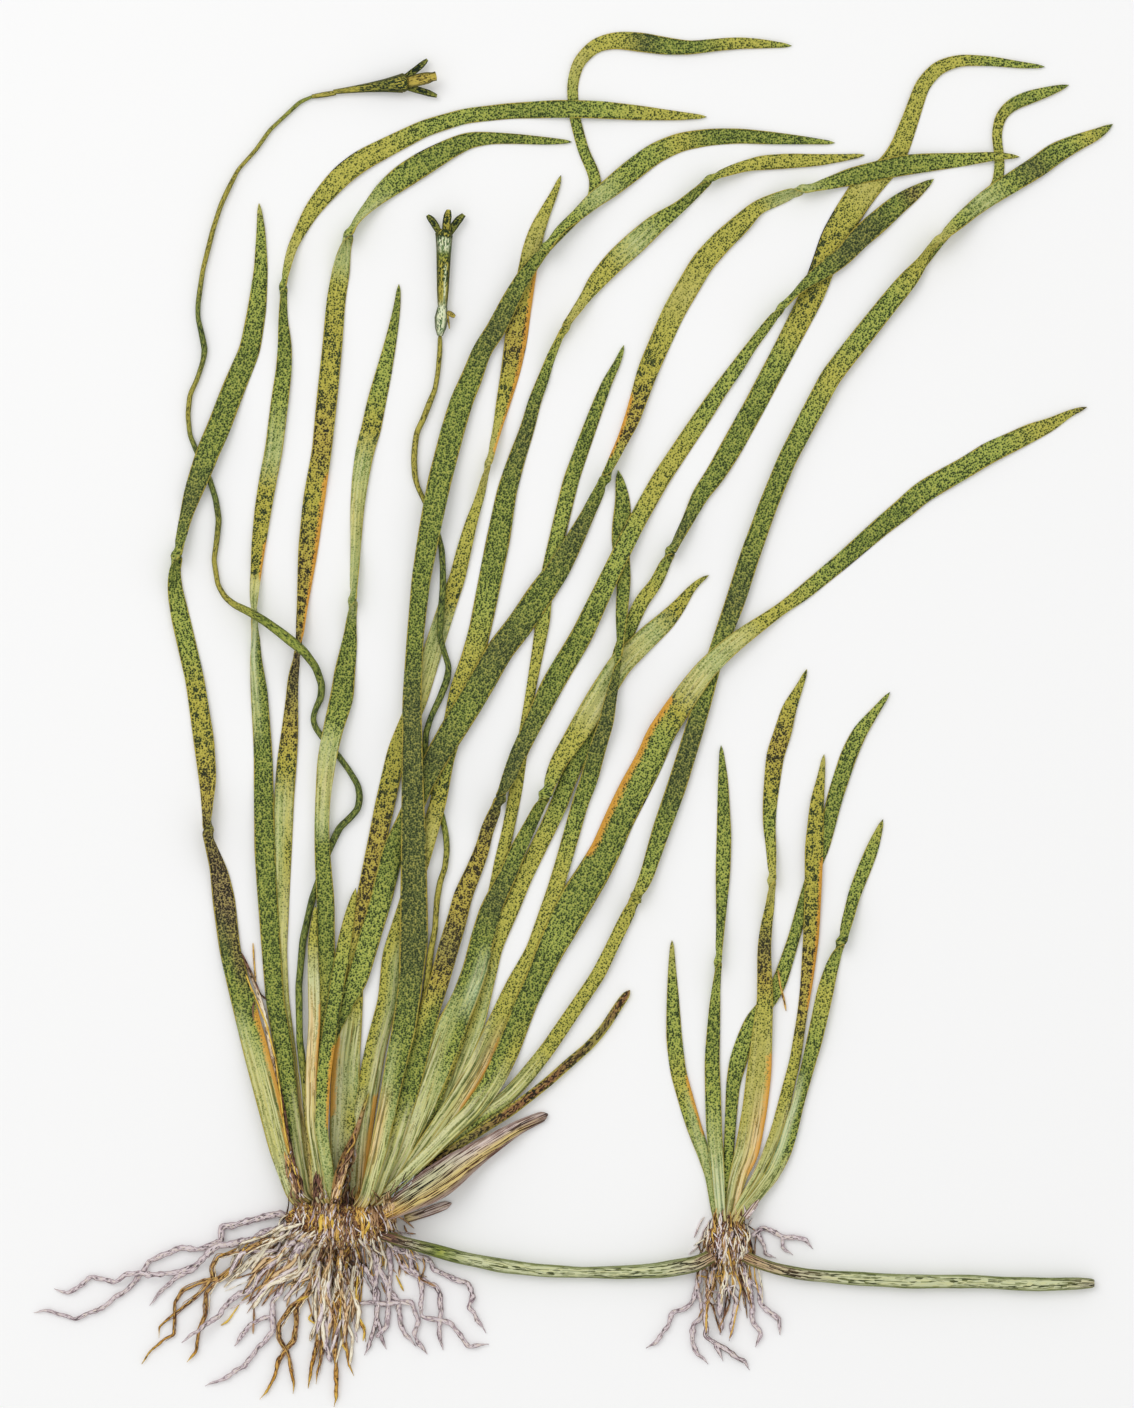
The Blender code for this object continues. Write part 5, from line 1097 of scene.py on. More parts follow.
def tones_between(share, stops):
    """Grounds and dark colours for shares from 0 to 1, from tones noted at some of them."""
    where = [place for place, _ in stops]
    looks = np.array([tone(name) for _, name in stops])
    return [read_at(share, where, looks[:, kind]) for kind in (0, 1)]


def tube(piece, x, y, z, radius, ground, ink, sides=12, ridges=0, depth=0.0, seed=0.0, tall=1.0):
    """Adds a round part.

    A point is the centre plus the radius times the level side by the cosine, and the vertical by
    the sine, of its angle. Ridges let the radius swing by a share, depth, so many times round, and
    tall is how high the section is for its width. The two colours may differ round the part.
    """
    run = np.concatenate([[0], np.cumsum(np.hypot(np.diff(x), np.diff(y)))])
    heading_x, heading_y = np.gradient(x), np.gradient(y)
    size = np.maximum(np.hypot(heading_x, heading_y), 1e-9)
    side = np.stack([-heading_y / size, heading_x / size, np.zeros(len(x))], 1)[:, None, :]
    turn = np.arange(sides + 1) / sides * 2 * math.pi
    angle = turn[:-1]
    swing = 1 + depth * np.cos(ridges * angle)
    up = np.array([0.0, 0.0, tall])
    out = side * np.cos(angle)[None, :, None] + up * np.sin(angle)[None, :, None]
    reach = radius[:, None] * swing[None, :]
    rows = np.stack([x, y, z], 1)[:, None, :] + out * reach[:, :, None]
    flat = np.stack(np.broadcast_arrays(run[:, None] + seed, turn * radius.max()), 2)
    if ground.ndim < 3:
        ground, ink = (np.broadcast_to(look, (len(x), 4))[:, None, :] for look in (ground, ink))
    piece.skin(rows, flat, ground=ground, ink=ink, across=np.cos(angle)[None, :])


def stem(name, node, points, finish, slot, dress, default, smooth=3, sides=10, ends=0.6):
    """A stalk or runner over its solid, with the tones noted along it and rounded ends."""
    course = Course(points, smooth)
    ground, ink, _ = tone_rows(course, dress, default)[0]
    keep = slice(None, None, 2)
    radius = course.width / 2 * (1 + 0.03 * np.sin(course.s / 9))
    for order in (course.s, course.length - course.s):
        radius = radius * (ends + (1 - ends) * np.sqrt(np.clip(order / 4, 0, 1)))
    piece = Piece(name)
    tube(piece, course.x[keep], course.y[keep], middle(node, course.x, course.y, 4)[keep], radius[keep],
         ground[keep], ink[keep], sides)
    piece.finish(finish, slot, node)


# %% [markdown]
# The two flower stalks are thin and wind about like wire springs let go: the long thread by which
# vallisneria's flower reaches the surface. The runner is thicker and pale, with brown streaks, and
# its far end was cut.

# %% Stalks and runners
STALK_LEFT = [
    (314, 96, 3), (300, 102, 4), (283, 118, 4), (270, 130, 4), (256, 150, 4), (247, 160, 4),
    (238, 170, 4), (228, 190, 5), (221, 205, 5), (213, 230, 5), (208, 250, 5), (203, 270, 5),
    (200, 290, 5), (198, 305, 5), (198, 318, 5), (202, 335, 6), (205, 350, 6), (203, 362, 5),
    (197, 380, 5), (190, 395, 5), (188, 415, 5), (190, 435, 5), (196, 450, 5), (203, 466, 5),
    (210, 480, 6), (216, 500, 6), (219, 520, 6), (217, 540, 6), (214, 560, 5), (218, 585, 5),
    (225, 597, 6), (235, 605, 7), (250, 612, 8), (265, 621, 9), (280, 632, 10), (294, 643, 10),
    (305, 652, 9), (316, 667, 8), (322, 685, 7), (321, 698, 7), (316, 708, 6), (313, 718, 6),
    (315, 727, 6), (323, 738, 6), (338, 755, 6), (349, 770, 6), (358, 785, 6), (360, 797, 7),
    (358, 809, 7), (350, 818, 7), (340, 827, 7), (334, 839, 7), (328, 854, 6), (320, 876, 6),
    (312, 900, 7), (303, 940, 7), (299, 985, 7), (300, 1040, 7), (306, 1090, 8), (315, 1196, 9)]
STALK_RIGHT = [
    (440, 335, 4), (440, 350, 5), (438, 372, 5), (435, 390, 5), (430, 402, 6), (423, 420, 6),
    (417, 432, 6), (415, 445, 6), (414, 460, 6), (415, 477, 6), (418, 488, 5), (424, 500, 5),
    (432, 518, 5), (438, 533, 5), (442, 550, 6), (443, 570, 6), (443, 590, 7), (441, 615, 7),
    (440, 637, 6), (444, 651, 6), (449, 667, 6), (447, 680, 7), (440, 698, 7), (431, 717, 6),
    (426, 733, 6), (425, 755, 6), (430, 785, 6), (442, 815, 6), (446, 835, 6), (447, 850, 6),
    (445, 868, 6), (440, 882, 6), (437, 900, 6), (435, 930, 6), (431, 950, 6), (428, 975, 7),
    (424, 1000, 6), (410, 1060, 6), (395, 1120, 6), (370, 1198, 6)]
RUNNER = [
    (403, 1240, 11), (430, 1248, 13), (460, 1257, 13), (500, 1265, 14), (540, 1270, 13),
    (580, 1272, 11), (620, 1272, 13), (660, 1270, 16), (697, 1263, 17)]
RUNNER_TAIL = [
    (1094, 1283, 9), (1077, 1283, 12), (1043, 1284, 14), (1009, 1283, 13), (975, 1281, 13),
    (941, 1281, 14), (907, 1281, 14), (872, 1279, 14), (838, 1277, 13), (804, 1274, 12),
    (775, 1268, 12), (755, 1261, 12)]
stem("stalk_left", "flower_stalk_left", STALK_LEFT, STALK, "stalk",
     [(314, 96, "stalk green"), (247, 160, "stalk olive"), (203, 270, "stalk olive"),
      (198, 310, "stalk dark"), (205, 350, "stalk dark"), (190, 395, "stalk olive"),
      (188, 415, "stalk olive"), (196, 450, "stalk dark"), (216, 500, "stalk dark"),
      (218, 560, "stalk olive"), (225, 597, "stalk olive"), (265, 620, "stalk green"),
      (305, 652, "stalk green"), (323, 690, "stalk dark"), (322, 738, "stalk dark"),
      (357, 790, "stalk dark"), (328, 852, "stalk dark"), (303, 940, "stalk dark"),
      (301, 1040, "stalk green"), (315, 1196, "husk")],
     "stalk green")
stem("stalk_right", "flower_stalk_right", STALK_RIGHT, STALK, "stalk",
     [(440, 335, "stalk olive"), (430, 405, "stalk olive"), (418, 488, "stalk olive"),
      (441, 550, "stalk dark"), (443, 650, "stalk dark"), (433, 718, "stalk dark"),
      (442, 815, "stalk green"), (440, 882, "stalk olive"), (428, 975, "stalk olive"),
      (395, 1120, "stalk olive"), (370, 1198, "husk")],
     "stalk green")
stem("runner_skin", "runner", [(380, 1232, 10)] + RUNNER + [(720, 1250, 11)], RUNNER_SKIN, "runner",
     [(395, 1238, "fibre dark"), (412, 1243, "runner end"), (440, 1250, "stalk green"),
      (470, 1259, "runner"), (660, 1268, "runner"), (690, 1260, "runner end"), (715, 1250, "fibre brown")],
     "runner", smooth=6, sides=18)
stem("runner_tail_skin", "runner_tail", RUNNER_TAIL + [(738, 1252, 11)], RUNNER_SKIN, "runner",
     [(1094, 1283, "runner end"), (1060, 1283, "runner"), (850, 1277, "runner"), (800, 1272, "runner end"),
      (740, 1254, "fibre brown")], "runner", smooth=6, sides=18, ends=0.8)

# %% [markdown]
# Each stalk ends in a spathe, a short sleeve split into two lips. From it comes the long ovary,
# a ridged funnel, and on its rim stand three tepals. A tepal is a small boat: blunt, hollow, with
# a dark rim. A flower's row holds its start and end in plan, its two heights, its radii, its tepals
# (the tip, how far that is lifted, the half width, the bluntness and the tone) and its own tones.

# %% Flowers
TEPAL_STEPS, TEPAL_COLUMNS = 18, 9
TEPAL_HALF, TEPAL_MAP = 0.00016, 0.009
OVARY_STEPS, OVARY_SIDES = 48, 36
SPATHE_STEPS, CUP_STEPS = 30, 14


def line_between(start, end, heights, count):
    """Plan positions and heights evenly along a straight line between two places."""
    share = np.linspace(0, 1, count)
    x0, y0 = plan(*start)
    x1, y1 = plan(*end)
    return x0 + (x1 - x0) * share, y0 + (y1 - y0) * share, heights[0] + (heights[1] - heights[0]) * share


def unit(vector):
    """The same direction with a length of 1."""
    return vector / np.linalg.norm(vector)


def tepal(piece, root, tip, bow, half, look, blunt):
    """Adds a boat from root to tip: a half width that swells and closes, a hollow, and a bow."""
    share = np.linspace(0, 1, TEPAL_STEPS)
    away = tip - root
    level = unit(np.cross(away, (0, 0, 1)))
    over = unit(np.cross(level, away))
    loop, face = round_trip(TEPAL_COLUMNS)
    width = half * np.interp(share, [0, 0.35, 0.7, 0.9, 1], [0.75, 1.0, 0.95, 0.7, blunt])[:, None]
    centre = root + away * share[:, None] + bow * np.sin(math.pi * share)[:, None]
    lift = width * 0.45 * (loop ** 2 - 0.5) + face * TEPAL_HALF * np.sqrt(np.clip(1 - loop ** 2, 0, 1))
    rows = centre[:, None, :] + level * (loop * width)[:, :, None] + over * lift[:, :, None]
    closed = np.concatenate([loop * width, loop[:, :1] * width], 1)
    flat = np.stack(np.broadcast_arrays(share[:, None] * TEPAL_MAP, closed), 2)
    piece.skin(rows, flat, ground=look[0], ink=look[1], across=loop)


# On the ovary and the spathe the dark flanks are painted shade; on the flat tepals the same flanks draw
# their dark rim.
FLOWER = streaked_finish("flower", 0.12, "3c3f24", 0.8, stretch=0.1, lines=1.2)
FLOWER_TALL = 0.75
FLOWERS = {
    "right": ((442.6, 308.5), (444.5, 236), (0.0016, 0.0023), (0.0014, 0.0018, 0.0020, 0.0022, 0.0026),
              ((427.5, 215.5, -0.0006, 0.0011, 0.4, "rim"), (449, 211, 0.0036, 0.0013, 0.5, "tepal"),
               (464, 215, -0.0004, 0.0012, 0.6, "rim")),
              ((0, "spathe"), (0.12, "stalk olive"), (0.45, "tepal"), (0.62, "tepal"),
               (0.74, "stalk green"), (0.82, "spathe"), (0.95, "spathe"), (1, "rim"))),
    "left": ((333.5, 92.2), (402, 84.2), (0.0010, 0.0024), (0.0007, 0.0010, 0.0014, 0.0020, 0.0029),
             ((427.5, 60, -0.0006, 0.0010, 0.4, "rim"), (436.5, 77.5, 0.0030, 0.0019, 0.75, "tepal ochre"),
              (437, 96.5, -0.0008, 0.00105, 0.5, "rim")),
             ((0, "stalk olive"), (0.35, "tepal"), (0.75, "rim"), (1, "tepal"))),
}
for side_name, (start, end, rise, radii, tips, looks) in FLOWERS.items():
    piece = Piece("ovary_" + side_name + "_skin")
    x, y, z = line_between(start, end, rise, OVARY_STEPS)
    share = np.linspace(0, 1, OVARY_STEPS)
    radius = np.interp(share, np.linspace(0, 1, 5), radii) * 0.97
    angle = np.arange(OVARY_SIDES) / OVARY_SIDES * 2 * math.pi
    # A painted highlight: a pale strip of spathe colour down one flank of the lower part of the right
    # ovary.
    highlight_strip = np.clip(1.4 - np.abs(np.cos(angle) + 0.3) / 0.16, 0, 1)[None, :, None]
    highlight_strip = highlight_strip * np.clip((0.62 - share) / 0.06, 0, 1)[:, None, None] * (side_name == "right")
    colours = tones_between(share, looks)
    colours = [look[:, None, :] * (1 - highlight_strip) + pale * highlight_strip for look, pale in zip(colours, tone("spathe"))]
    tube(piece, x, y, z, radius, *colours, sides=OVARY_SIDES, ridges=9, depth=0.05, tall=FLOWER_TALL)
    piece.finish(FLOWER, "stalk", "ovary_" + side_name)
    piece = Piece("tepals_" + side_name + "_skin")
    rim = np.array([x[-1], y[-1], z[-1]])
    along = unit(rim - np.array([x[0], y[0], z[0]]))
    level = np.array([-along[1], along[0], 0.0])
    share = np.linspace(0, 1, CUP_STEPS)
    cup = rim + along * (0.0024 * share - 0.0004)[:, None]
    cup_radius = radii[-1] * np.interp(share, [0, 0.4, 0.8, 1], [0.93, 1.0, 0.8, 0.3])
    tube(piece, *cup.T, cup_radius, *tone("tepal"), sides=24, ridges=3, depth=0.08, tall=FLOWER_TALL)
    for tip_x, tip_y, lift, half, blunt, look in tips:
        tip = np.array([*plan(tip_x, tip_y), rim[2] + lift])
        lean = (tip - rim) @ level / np.linalg.norm(tip - rim)
        root_point = rim + along * 0.0002 + level * lean * radii[-1] * 0.75
        tepal(piece, root_point, tip, along * 0.0006, half, tone(look), blunt)
    piece.finish(FLOWER, "tepal", "tepals_" + side_name)

SPATHES = {
    "right": ((440.0, 336), (442.6, 306), (0.0008, 0.0016, 0.0020, 0.0013), "spathe"),
    "left": ((312, 96.8), (336, 93.0), (0.0006, 0.0007, 0.0008, 0.0007), "stalk olive"),
}
for side_name, (start, end, radii, look) in SPATHES.items():
    piece = Piece("spathe_" + side_name + "_skin")
    x, y, z = line_between(start, end, (radii[1], radii[2]), SPATHE_STEPS)
    z = np.maximum(middle("spathe_" + side_name, x, y, 3), radii[2])
    radius = np.interp(np.linspace(0, 1, SPATHE_STEPS), [0, 0.25, 0.6, 1], radii)
    tube(piece, x, y, z, radius, *tone(look), sides=24, ridges=6, depth=0.05)
    if side_name == "right":
        fold = np.array([*plan(447.5, 312.5), z[22] + 0.0008])
        for tip_x, tip_y, half in ((455, 317, 0.0008), (449.5, 329, 0.0003)):
            tepal(piece, fold, np.array([*plan(tip_x, tip_y), 0.0016]), np.array([0.0, 0.0, 0.0004]), half,
                  tone("tepal ochre"), 0.5)
    piece.finish(FLOWER, "stalk", "spathe_" + side_name)

# %% [markdown]
# The rootstock is a knob where everything meets. Its outline in plan is drawn in and lifted level
# by level, and then made lumpy: slow waves round it and up it, with a finer crumble. Each of the
# lumps below has a depth, a number of waves round the knob, a slant upwards and a start.

# %% Crowns
CROWN = [
    (284, 1213), (291, 1205), (310, 1203), (330, 1202), (350, 1202), (372, 1203), (390, 1204),
    (399, 1213), (398, 1228), (388, 1238), (370, 1244), (345, 1247), (318, 1246), (298, 1239),
    (286, 1228)]
DAUGHTER_CROWN = [
    (702, 1240), (706, 1229), (716, 1222), (730, 1221), (742, 1223), (750, 1232), (752, 1245),
    (746, 1257), (734, 1265), (718, 1266), (706, 1257)]
BARK, BARK_DARK, BARK_YELLOW = "b98a52", "6a4029", "f2c84c"
BARK_AROUND, BARK_LEVELS, OVERLAP = 96, 26, 9
LUMPS = ((0.03, 5, 9, 0), (0.025, 11, -14, 1), (0.015, 23, 31, 0))


def crown_finish():
    """Brown bark with yellow and with dark patches, and small cells of each in the other."""
    finish = Finish("crown", 0.15)
    patch = finish.noise(finish.place, 230, 3.0)
    grain = finish.noise(finish.place.stretched((1.0, 0.4, 1.0)), 1300, 3.0, 0.65)
    cell = finish.cells(finish.place, 3000, "Color").part(0)
    colour = finish.start.node("ShaderNodeRGB")
    colour.socket.default_value = tint(BARK)
    colour = colour.toward(BARK_YELLOW, (patch + cell * 0.2 - 0.74).step(0.0, 0.05))
    level = 0.56 + (0.5 - patch) * 1.4 + (grain - 0.5) * 0.9
    colour = finish.stipple(colour, BARK_DARK, level, cell, 0.35, 0.5)
    return finish.done(colour, 0.75 + (grain - 0.5) * 0.3, grain + cell * 0.4, 0.0004)


CROWN_BARK = crown_finish()
for node, outline, height, levels in (
        ("crown", CROWN, 0.013,
         ((0, 0.82), (0.22, 0.97), (0.5, 1.0), (0.75, 0.88), (0.93, 0.62), (1, 0.3))),
        ("daughter_crown", DAUGHTER_CROWN, 0.008,
         ((0, 0.8), (0.3, 1.0), (0.6, 0.96), (0.88, 0.66), (1, 0.3)))):
    corners = np.array(outline + outline[:1], float)
    turn = np.linspace(0, len(outline), BARK_AROUND + 1)[:-1]
    ring = read_at(turn, np.arange(len(corners)), corners).T
    ring = [blur(np.concatenate([row[-OVERLAP:], row, row[:OVERLAP]]), 2) for row in ring]
    ring = np.stack([row[OVERLAP:-OVERLAP] for row in ring], 1)
    centre = np.mean(outline, 0)
    level = np.concatenate([np.linspace(0, 0.995, BARK_LEVELS), [0.995, 0.99]])
    share = np.interp(level, *zip(*levels))
    share[-2:] = (0.12, 0.02)
    angle = np.linspace(0, 2 * math.pi, BARK_AROUND + 1)[:-1]
    lumpy = 0.95 + sum(depth * np.sin(waves * angle + slant * level[:, None] + start)
                       for depth, waves, slant, start in LUMPS)
    spread = (share[:, None] * lumpy)[:, :, None] * (ring - centre)[None, :, :]
    x, y = plan(centre[0] + spread[:, :, 0], centre[1] + spread[:, :, 1])
    z = np.broadcast_to(level[:, None] * height, x.shape)
    piece = Piece(node + "_bark")
    flat = np.stack(np.broadcast_arrays(level[:, None] * height, np.arange(BARK_AROUND + 1) * 0.001), 2)
    piece.skin(np.stack([x, y, z], 2), flat)
    piece.finish(CROWN_BARK, "crown", node)

# %% [markdown]
# The roots leave the rootstock below and wander, fork and thin out. Each was traced with its
# forks. A root isn't a pipe: it swells and shrinks by a tenth or so every few millimetres, and its
# tip is a thread. Pale ones are young; brown ones are old and come with finer strands beside them,
# each with its tones, its width, its place beside the root in metres and the share it goes along.

# %% Roots
ROOTS = {
    "root_01": [[
        (280, 1213, 7), (250, 1221, 7), (222, 1227, 7), (221, 1241, 7), (199, 1250, 6), (183, 1247, 6),
        (150, 1262, 6), (142, 1274, 6), (127, 1290, 5), (104, 1307, 5), (75, 1320, 4), (61, 1314, 4),
        (44, 1310, 3), (33, 1313, 2)]],
    "root_02": [[
        (281, 1226, 7), (268, 1231, 7), (250, 1240, 7), (221, 1245, 7), (207, 1254, 7), (193, 1269, 6),
        (178, 1277, 5), (165, 1288, 4), (149, 1306, 3)],
        [(196, 1266, 6), (178, 1272, 5), (163, 1274, 6), (142, 1272, 6), (127, 1274, 5), (114, 1283, 5),
         (93, 1276, 5), (68, 1293, 4), (53, 1288, 2)]],
    "root_03": [[
        (285, 1237, 6), (266, 1240, 6), (242, 1251, 6), (237, 1264, 6), (219, 1279, 7), (204, 1281, 5),
        (183, 1290, 5), (175, 1302, 5), (174, 1318, 4), (174, 1334, 4), (162, 1341, 4), (151, 1351, 4),
        (141, 1365, 3)],
        [(219, 1279, 6), (206, 1293, 5), (206, 1315, 5), (199, 1331, 5), (196, 1351, 5), (187, 1362, 4)],
        [(242, 1251, 4), (219, 1254, 4), (211, 1267, 4), (213, 1277, 5), (199, 1294, 4),
         (178, 1311, 4), (159, 1327, 3), (159, 1338, 2)]],
    "root_04": [[
        (290, 1243, 6), (270, 1264, 6), (250, 1290, 6), (227, 1301, 6), (222, 1313, 6), (204, 1325, 5),
        (181, 1343, 3)]],
    "root_05": [[
        (300, 1245, 7), (290, 1268, 7), (280, 1290, 6), (273, 1302, 6), (273, 1331, 6), (257, 1348, 5),
        (244, 1366, 5), (224, 1379, 4), (205, 1386, 2)],
        [(273, 1316, 5), (262, 1319, 5), (250, 1325, 5), (241, 1336, 5), (234, 1347, 3)]],
    "root_06": [[
        (322, 1251, 8), (316, 1275, 8), (308, 1292, 7), (296, 1306, 7), (297, 1323, 6), (294, 1341, 6),
        (285, 1350, 6), (278, 1361, 6), (275, 1376, 5), (267, 1392, 4), (259, 1400, 2)],
        [(309, 1291, 6), (291, 1307, 6), (279, 1325, 5), (279, 1338, 5), (287, 1351, 5), (290, 1364, 5),
         (294, 1382, 5), (293, 1394, 3)]],
    "root_07": [[
        (331, 1252, 8), (328, 1270, 8), (326, 1295, 8), (320, 1325, 6), (318, 1338, 6), (311, 1369, 6),
        (308, 1389, 4)],
        [(320, 1325, 6), (323, 1345, 5), (319, 1365, 4), (316, 1384, 3)]],
    "root_08": [[
        (342, 1253, 8), (341, 1270, 8), (339, 1295, 8), (335, 1338, 7), (336, 1369, 7), (336, 1394, 6),
        (334, 1407, 3)],
        [(340, 1285, 6), (347, 1303, 6), (345, 1338, 5), (349, 1364, 5), (354, 1376, 3)]],
    "root_09": [[
        (357, 1251, 7), (357, 1277, 6), (358, 1318, 5), (364, 1330, 4), (366, 1343, 3)],
        [(357, 1262, 6), (369, 1272, 6), (377, 1292, 6), (377, 1315, 5), (380, 1335, 4), (387, 1350, 3)],
        [(377, 1318, 5), (371, 1341, 4), (364, 1356, 3)]],
    "root_10": [[
        (376, 1249, 7), (380, 1270, 6), (388, 1290, 6), (399, 1302, 6), (400, 1323, 5), (405, 1336, 5),
        (417, 1347, 3)],
        [(399, 1302, 5), (411, 1302, 5), (419, 1320, 5), (413, 1334, 5), (421, 1346, 5), (428, 1355, 3)]],
    "root_11": [[
        (393, 1243, 7), (402, 1262, 7), (420, 1279, 6), (434, 1284, 6), (440, 1294, 6), (441, 1313, 5),
        (440, 1333, 5), (443, 1350, 3)],
        [(420, 1279, 6), (422, 1296, 5), (422, 1315, 5), (451, 1323, 5), (469, 1346, 5), (477, 1344, 4),
         (489, 1344, 3)]],
    "root_12": [[
        (401, 1250, 6), (416, 1256, 6), (432, 1260, 5), (433, 1269, 6), (454, 1279, 6), (467, 1283, 6),
        (473, 1297, 5), (469, 1307, 5), (486, 1333, 3)]],
    "daughter_root_1": [[
        (700, 1263, 6), (699, 1277, 6), (696, 1292, 6), (690, 1305, 5), (672, 1313, 5), (668, 1328, 5),
        (657, 1341, 5), (646, 1348, 3)],
        [(697, 1288, 5), (703, 1313, 5), (694, 1325, 5), (691, 1341, 5), (698, 1353, 5),
         (708, 1364, 3)]],
    "daughter_root_2": [[
        (713, 1270, 7), (708, 1290, 7), (705, 1307, 6), (705, 1336, 5), (722, 1347, 5), (735, 1356, 5),
        (745, 1361, 4), (750, 1371, 2)],
        [(714, 1342, 5), (723, 1361, 3)]],
    "daughter_root_3": [[
        (726, 1270, 7), (722, 1290, 7), (719, 1307, 6), (722, 1323, 5), (720, 1336, 3)],
        [(723, 1284, 6), (737, 1300, 5), (732, 1323, 5), (729, 1341, 3)]],
    "daughter_root_4": [[
        (741, 1266, 7), (748, 1279, 7), (751, 1302, 6), (754, 1323, 5), (761, 1334, 5), (755, 1348, 3)],
        [(748, 1279, 5), (759, 1288, 5), (760, 1303, 5), (769, 1312, 5), (780, 1319, 5),
         (780, 1336, 3)]],
    "daughter_root_5": [[
        (755, 1233, 6), (762, 1227, 6), (770, 1230, 6), (783, 1237, 5), (806, 1240, 5), (813, 1249, 3)],
        [(783, 1237, 5), (782, 1247, 5), (793, 1255, 3)],
        [(757, 1231, 5), (763, 1245, 4), (766, 1254, 4), (776, 1258, 3)]],
}
BROWN_ROOTS = ("root_03", "root_06", "root_07", "root_08", "root_09", "daughter_root_2")
ROOT_SMOOTH = 1.6
STRAY_STEP = 8
random = np.random.default_rng(7)


def knobbly(count, share, cells=2):
    """A row of values around 1 that swell and shrink by about this share, over so many cells."""
    wander = np.convolve(random.normal(size=count + 6 * cells), np.ones(cells) / cells ** 0.5, "same")
    return 1 + share * wander[3 * cells:3 * cells + count]


def root_line(piece, points, node, looks, width=1.0, sides=8, into=None, aside=0.0, until=1.0, wander=0.0):
    """Adds one strand along traced points, with its height from the solid of that name.

    Aside keeps it beside the course by so many metres, until ends it early, and wander lets it
    stray to both sides, with a new step every few trace units.
    """
    course = Course(([into] if into else []) + list(points), ROOT_SMOOTH)
    steps = random.normal(0, wander, int(course.length / STRAY_STEP) + 3)
    stray = np.interp(course.s / STRAY_STEP, np.arange(len(steps)), steps)
    shift = aside * np.clip(course.s / 20, 0.3, 1) + stray
    shift = shift * np.clip((course.length - course.s) / 10, 0, 1)
    x, y = (place + course.side()[:, k] * shift for k, place in enumerate((course.x, course.y)))
    z = middle(node, course.x, course.y, 3) + abs(aside) * 0.2
    end = max(6, int(len(x) * until))
    keep = slice(0, end, 2)
    taper = np.clip((course.s[end - 1] - course.s) / 12, 0.15, 1) ** 0.7
    radius = (course.width / 2 * width * taper)[keep]
    radius = radius * knobbly(len(radius), 0.13)
    colours = [colour[keep] for colour in tones_between(course.s / course.length, looks)]
    tube(piece, x[keep], y[keep], np.maximum(z[keep], radius), radius, *colours, sides=sides,
         seed=float(random.uniform(0, 1)))


BROWN = (
    (0, "fibre brown"), (0.2, "root tan"), (0.6, "root tan"), (0.85, "root ochre"), (1, "fibre yellow"))
PALE = ((0, "root pale"), (1, "root pale"))
BESIDE = (
    (((0, "fibre dark"), (1, "fibre brown")), 0.26, 0.00052, 0.85),
    (((0, "fibre brown"), (1, "fibre ochre")), 0.24, -0.0006, 0.7),
    (((0, "fibre cream"), (1, "fibre ochre")), 0.28, 0.0010, 0.45))
YOUNG_FORKS = (("root_09", 1), ("root_09", 2), ("daughter_root_2", 0), ("daughter_root_2", 1))
for node, strands in ROOTS.items():
    brown = node in BROWN_ROOTS
    home = (725, 1245) if node.startswith("daughter") else (342, 1228)
    piece = Piece(node + "_strands")
    for number, strand in enumerate(strands):
        first = strand[0]
        into = None
        if number == 0:
            into = (first[0] + (home[0] - first[0]) * 0.12, first[1] + (home[1] - first[1]) * 0.2,
                    first[2])
        old = brown and (node, number) not in YOUNG_FORKS
        root_line(piece, strand, node, BROWN if old else PALE, 0.62 if old else 0.96, into=into,
                  wander=0.0001 if old else 0.0002)
        for looks, width, aside, until in BESIDE if old else ():
            root_line(piece, strand, node, looks, width, 6, into, aside, until, 0.00012)
    piece.finish(ROOT_BROWN if brown else ROOT_PALE, "root_brown" if brown else "root_pale", node)

# %% [markdown]
# Between the roots hang strands finer than any solid. They keep close to the table and climb over
# what they cross, so their height is the highest surface below them plus their own radius. They
# are noted like the roots, with the colour first.

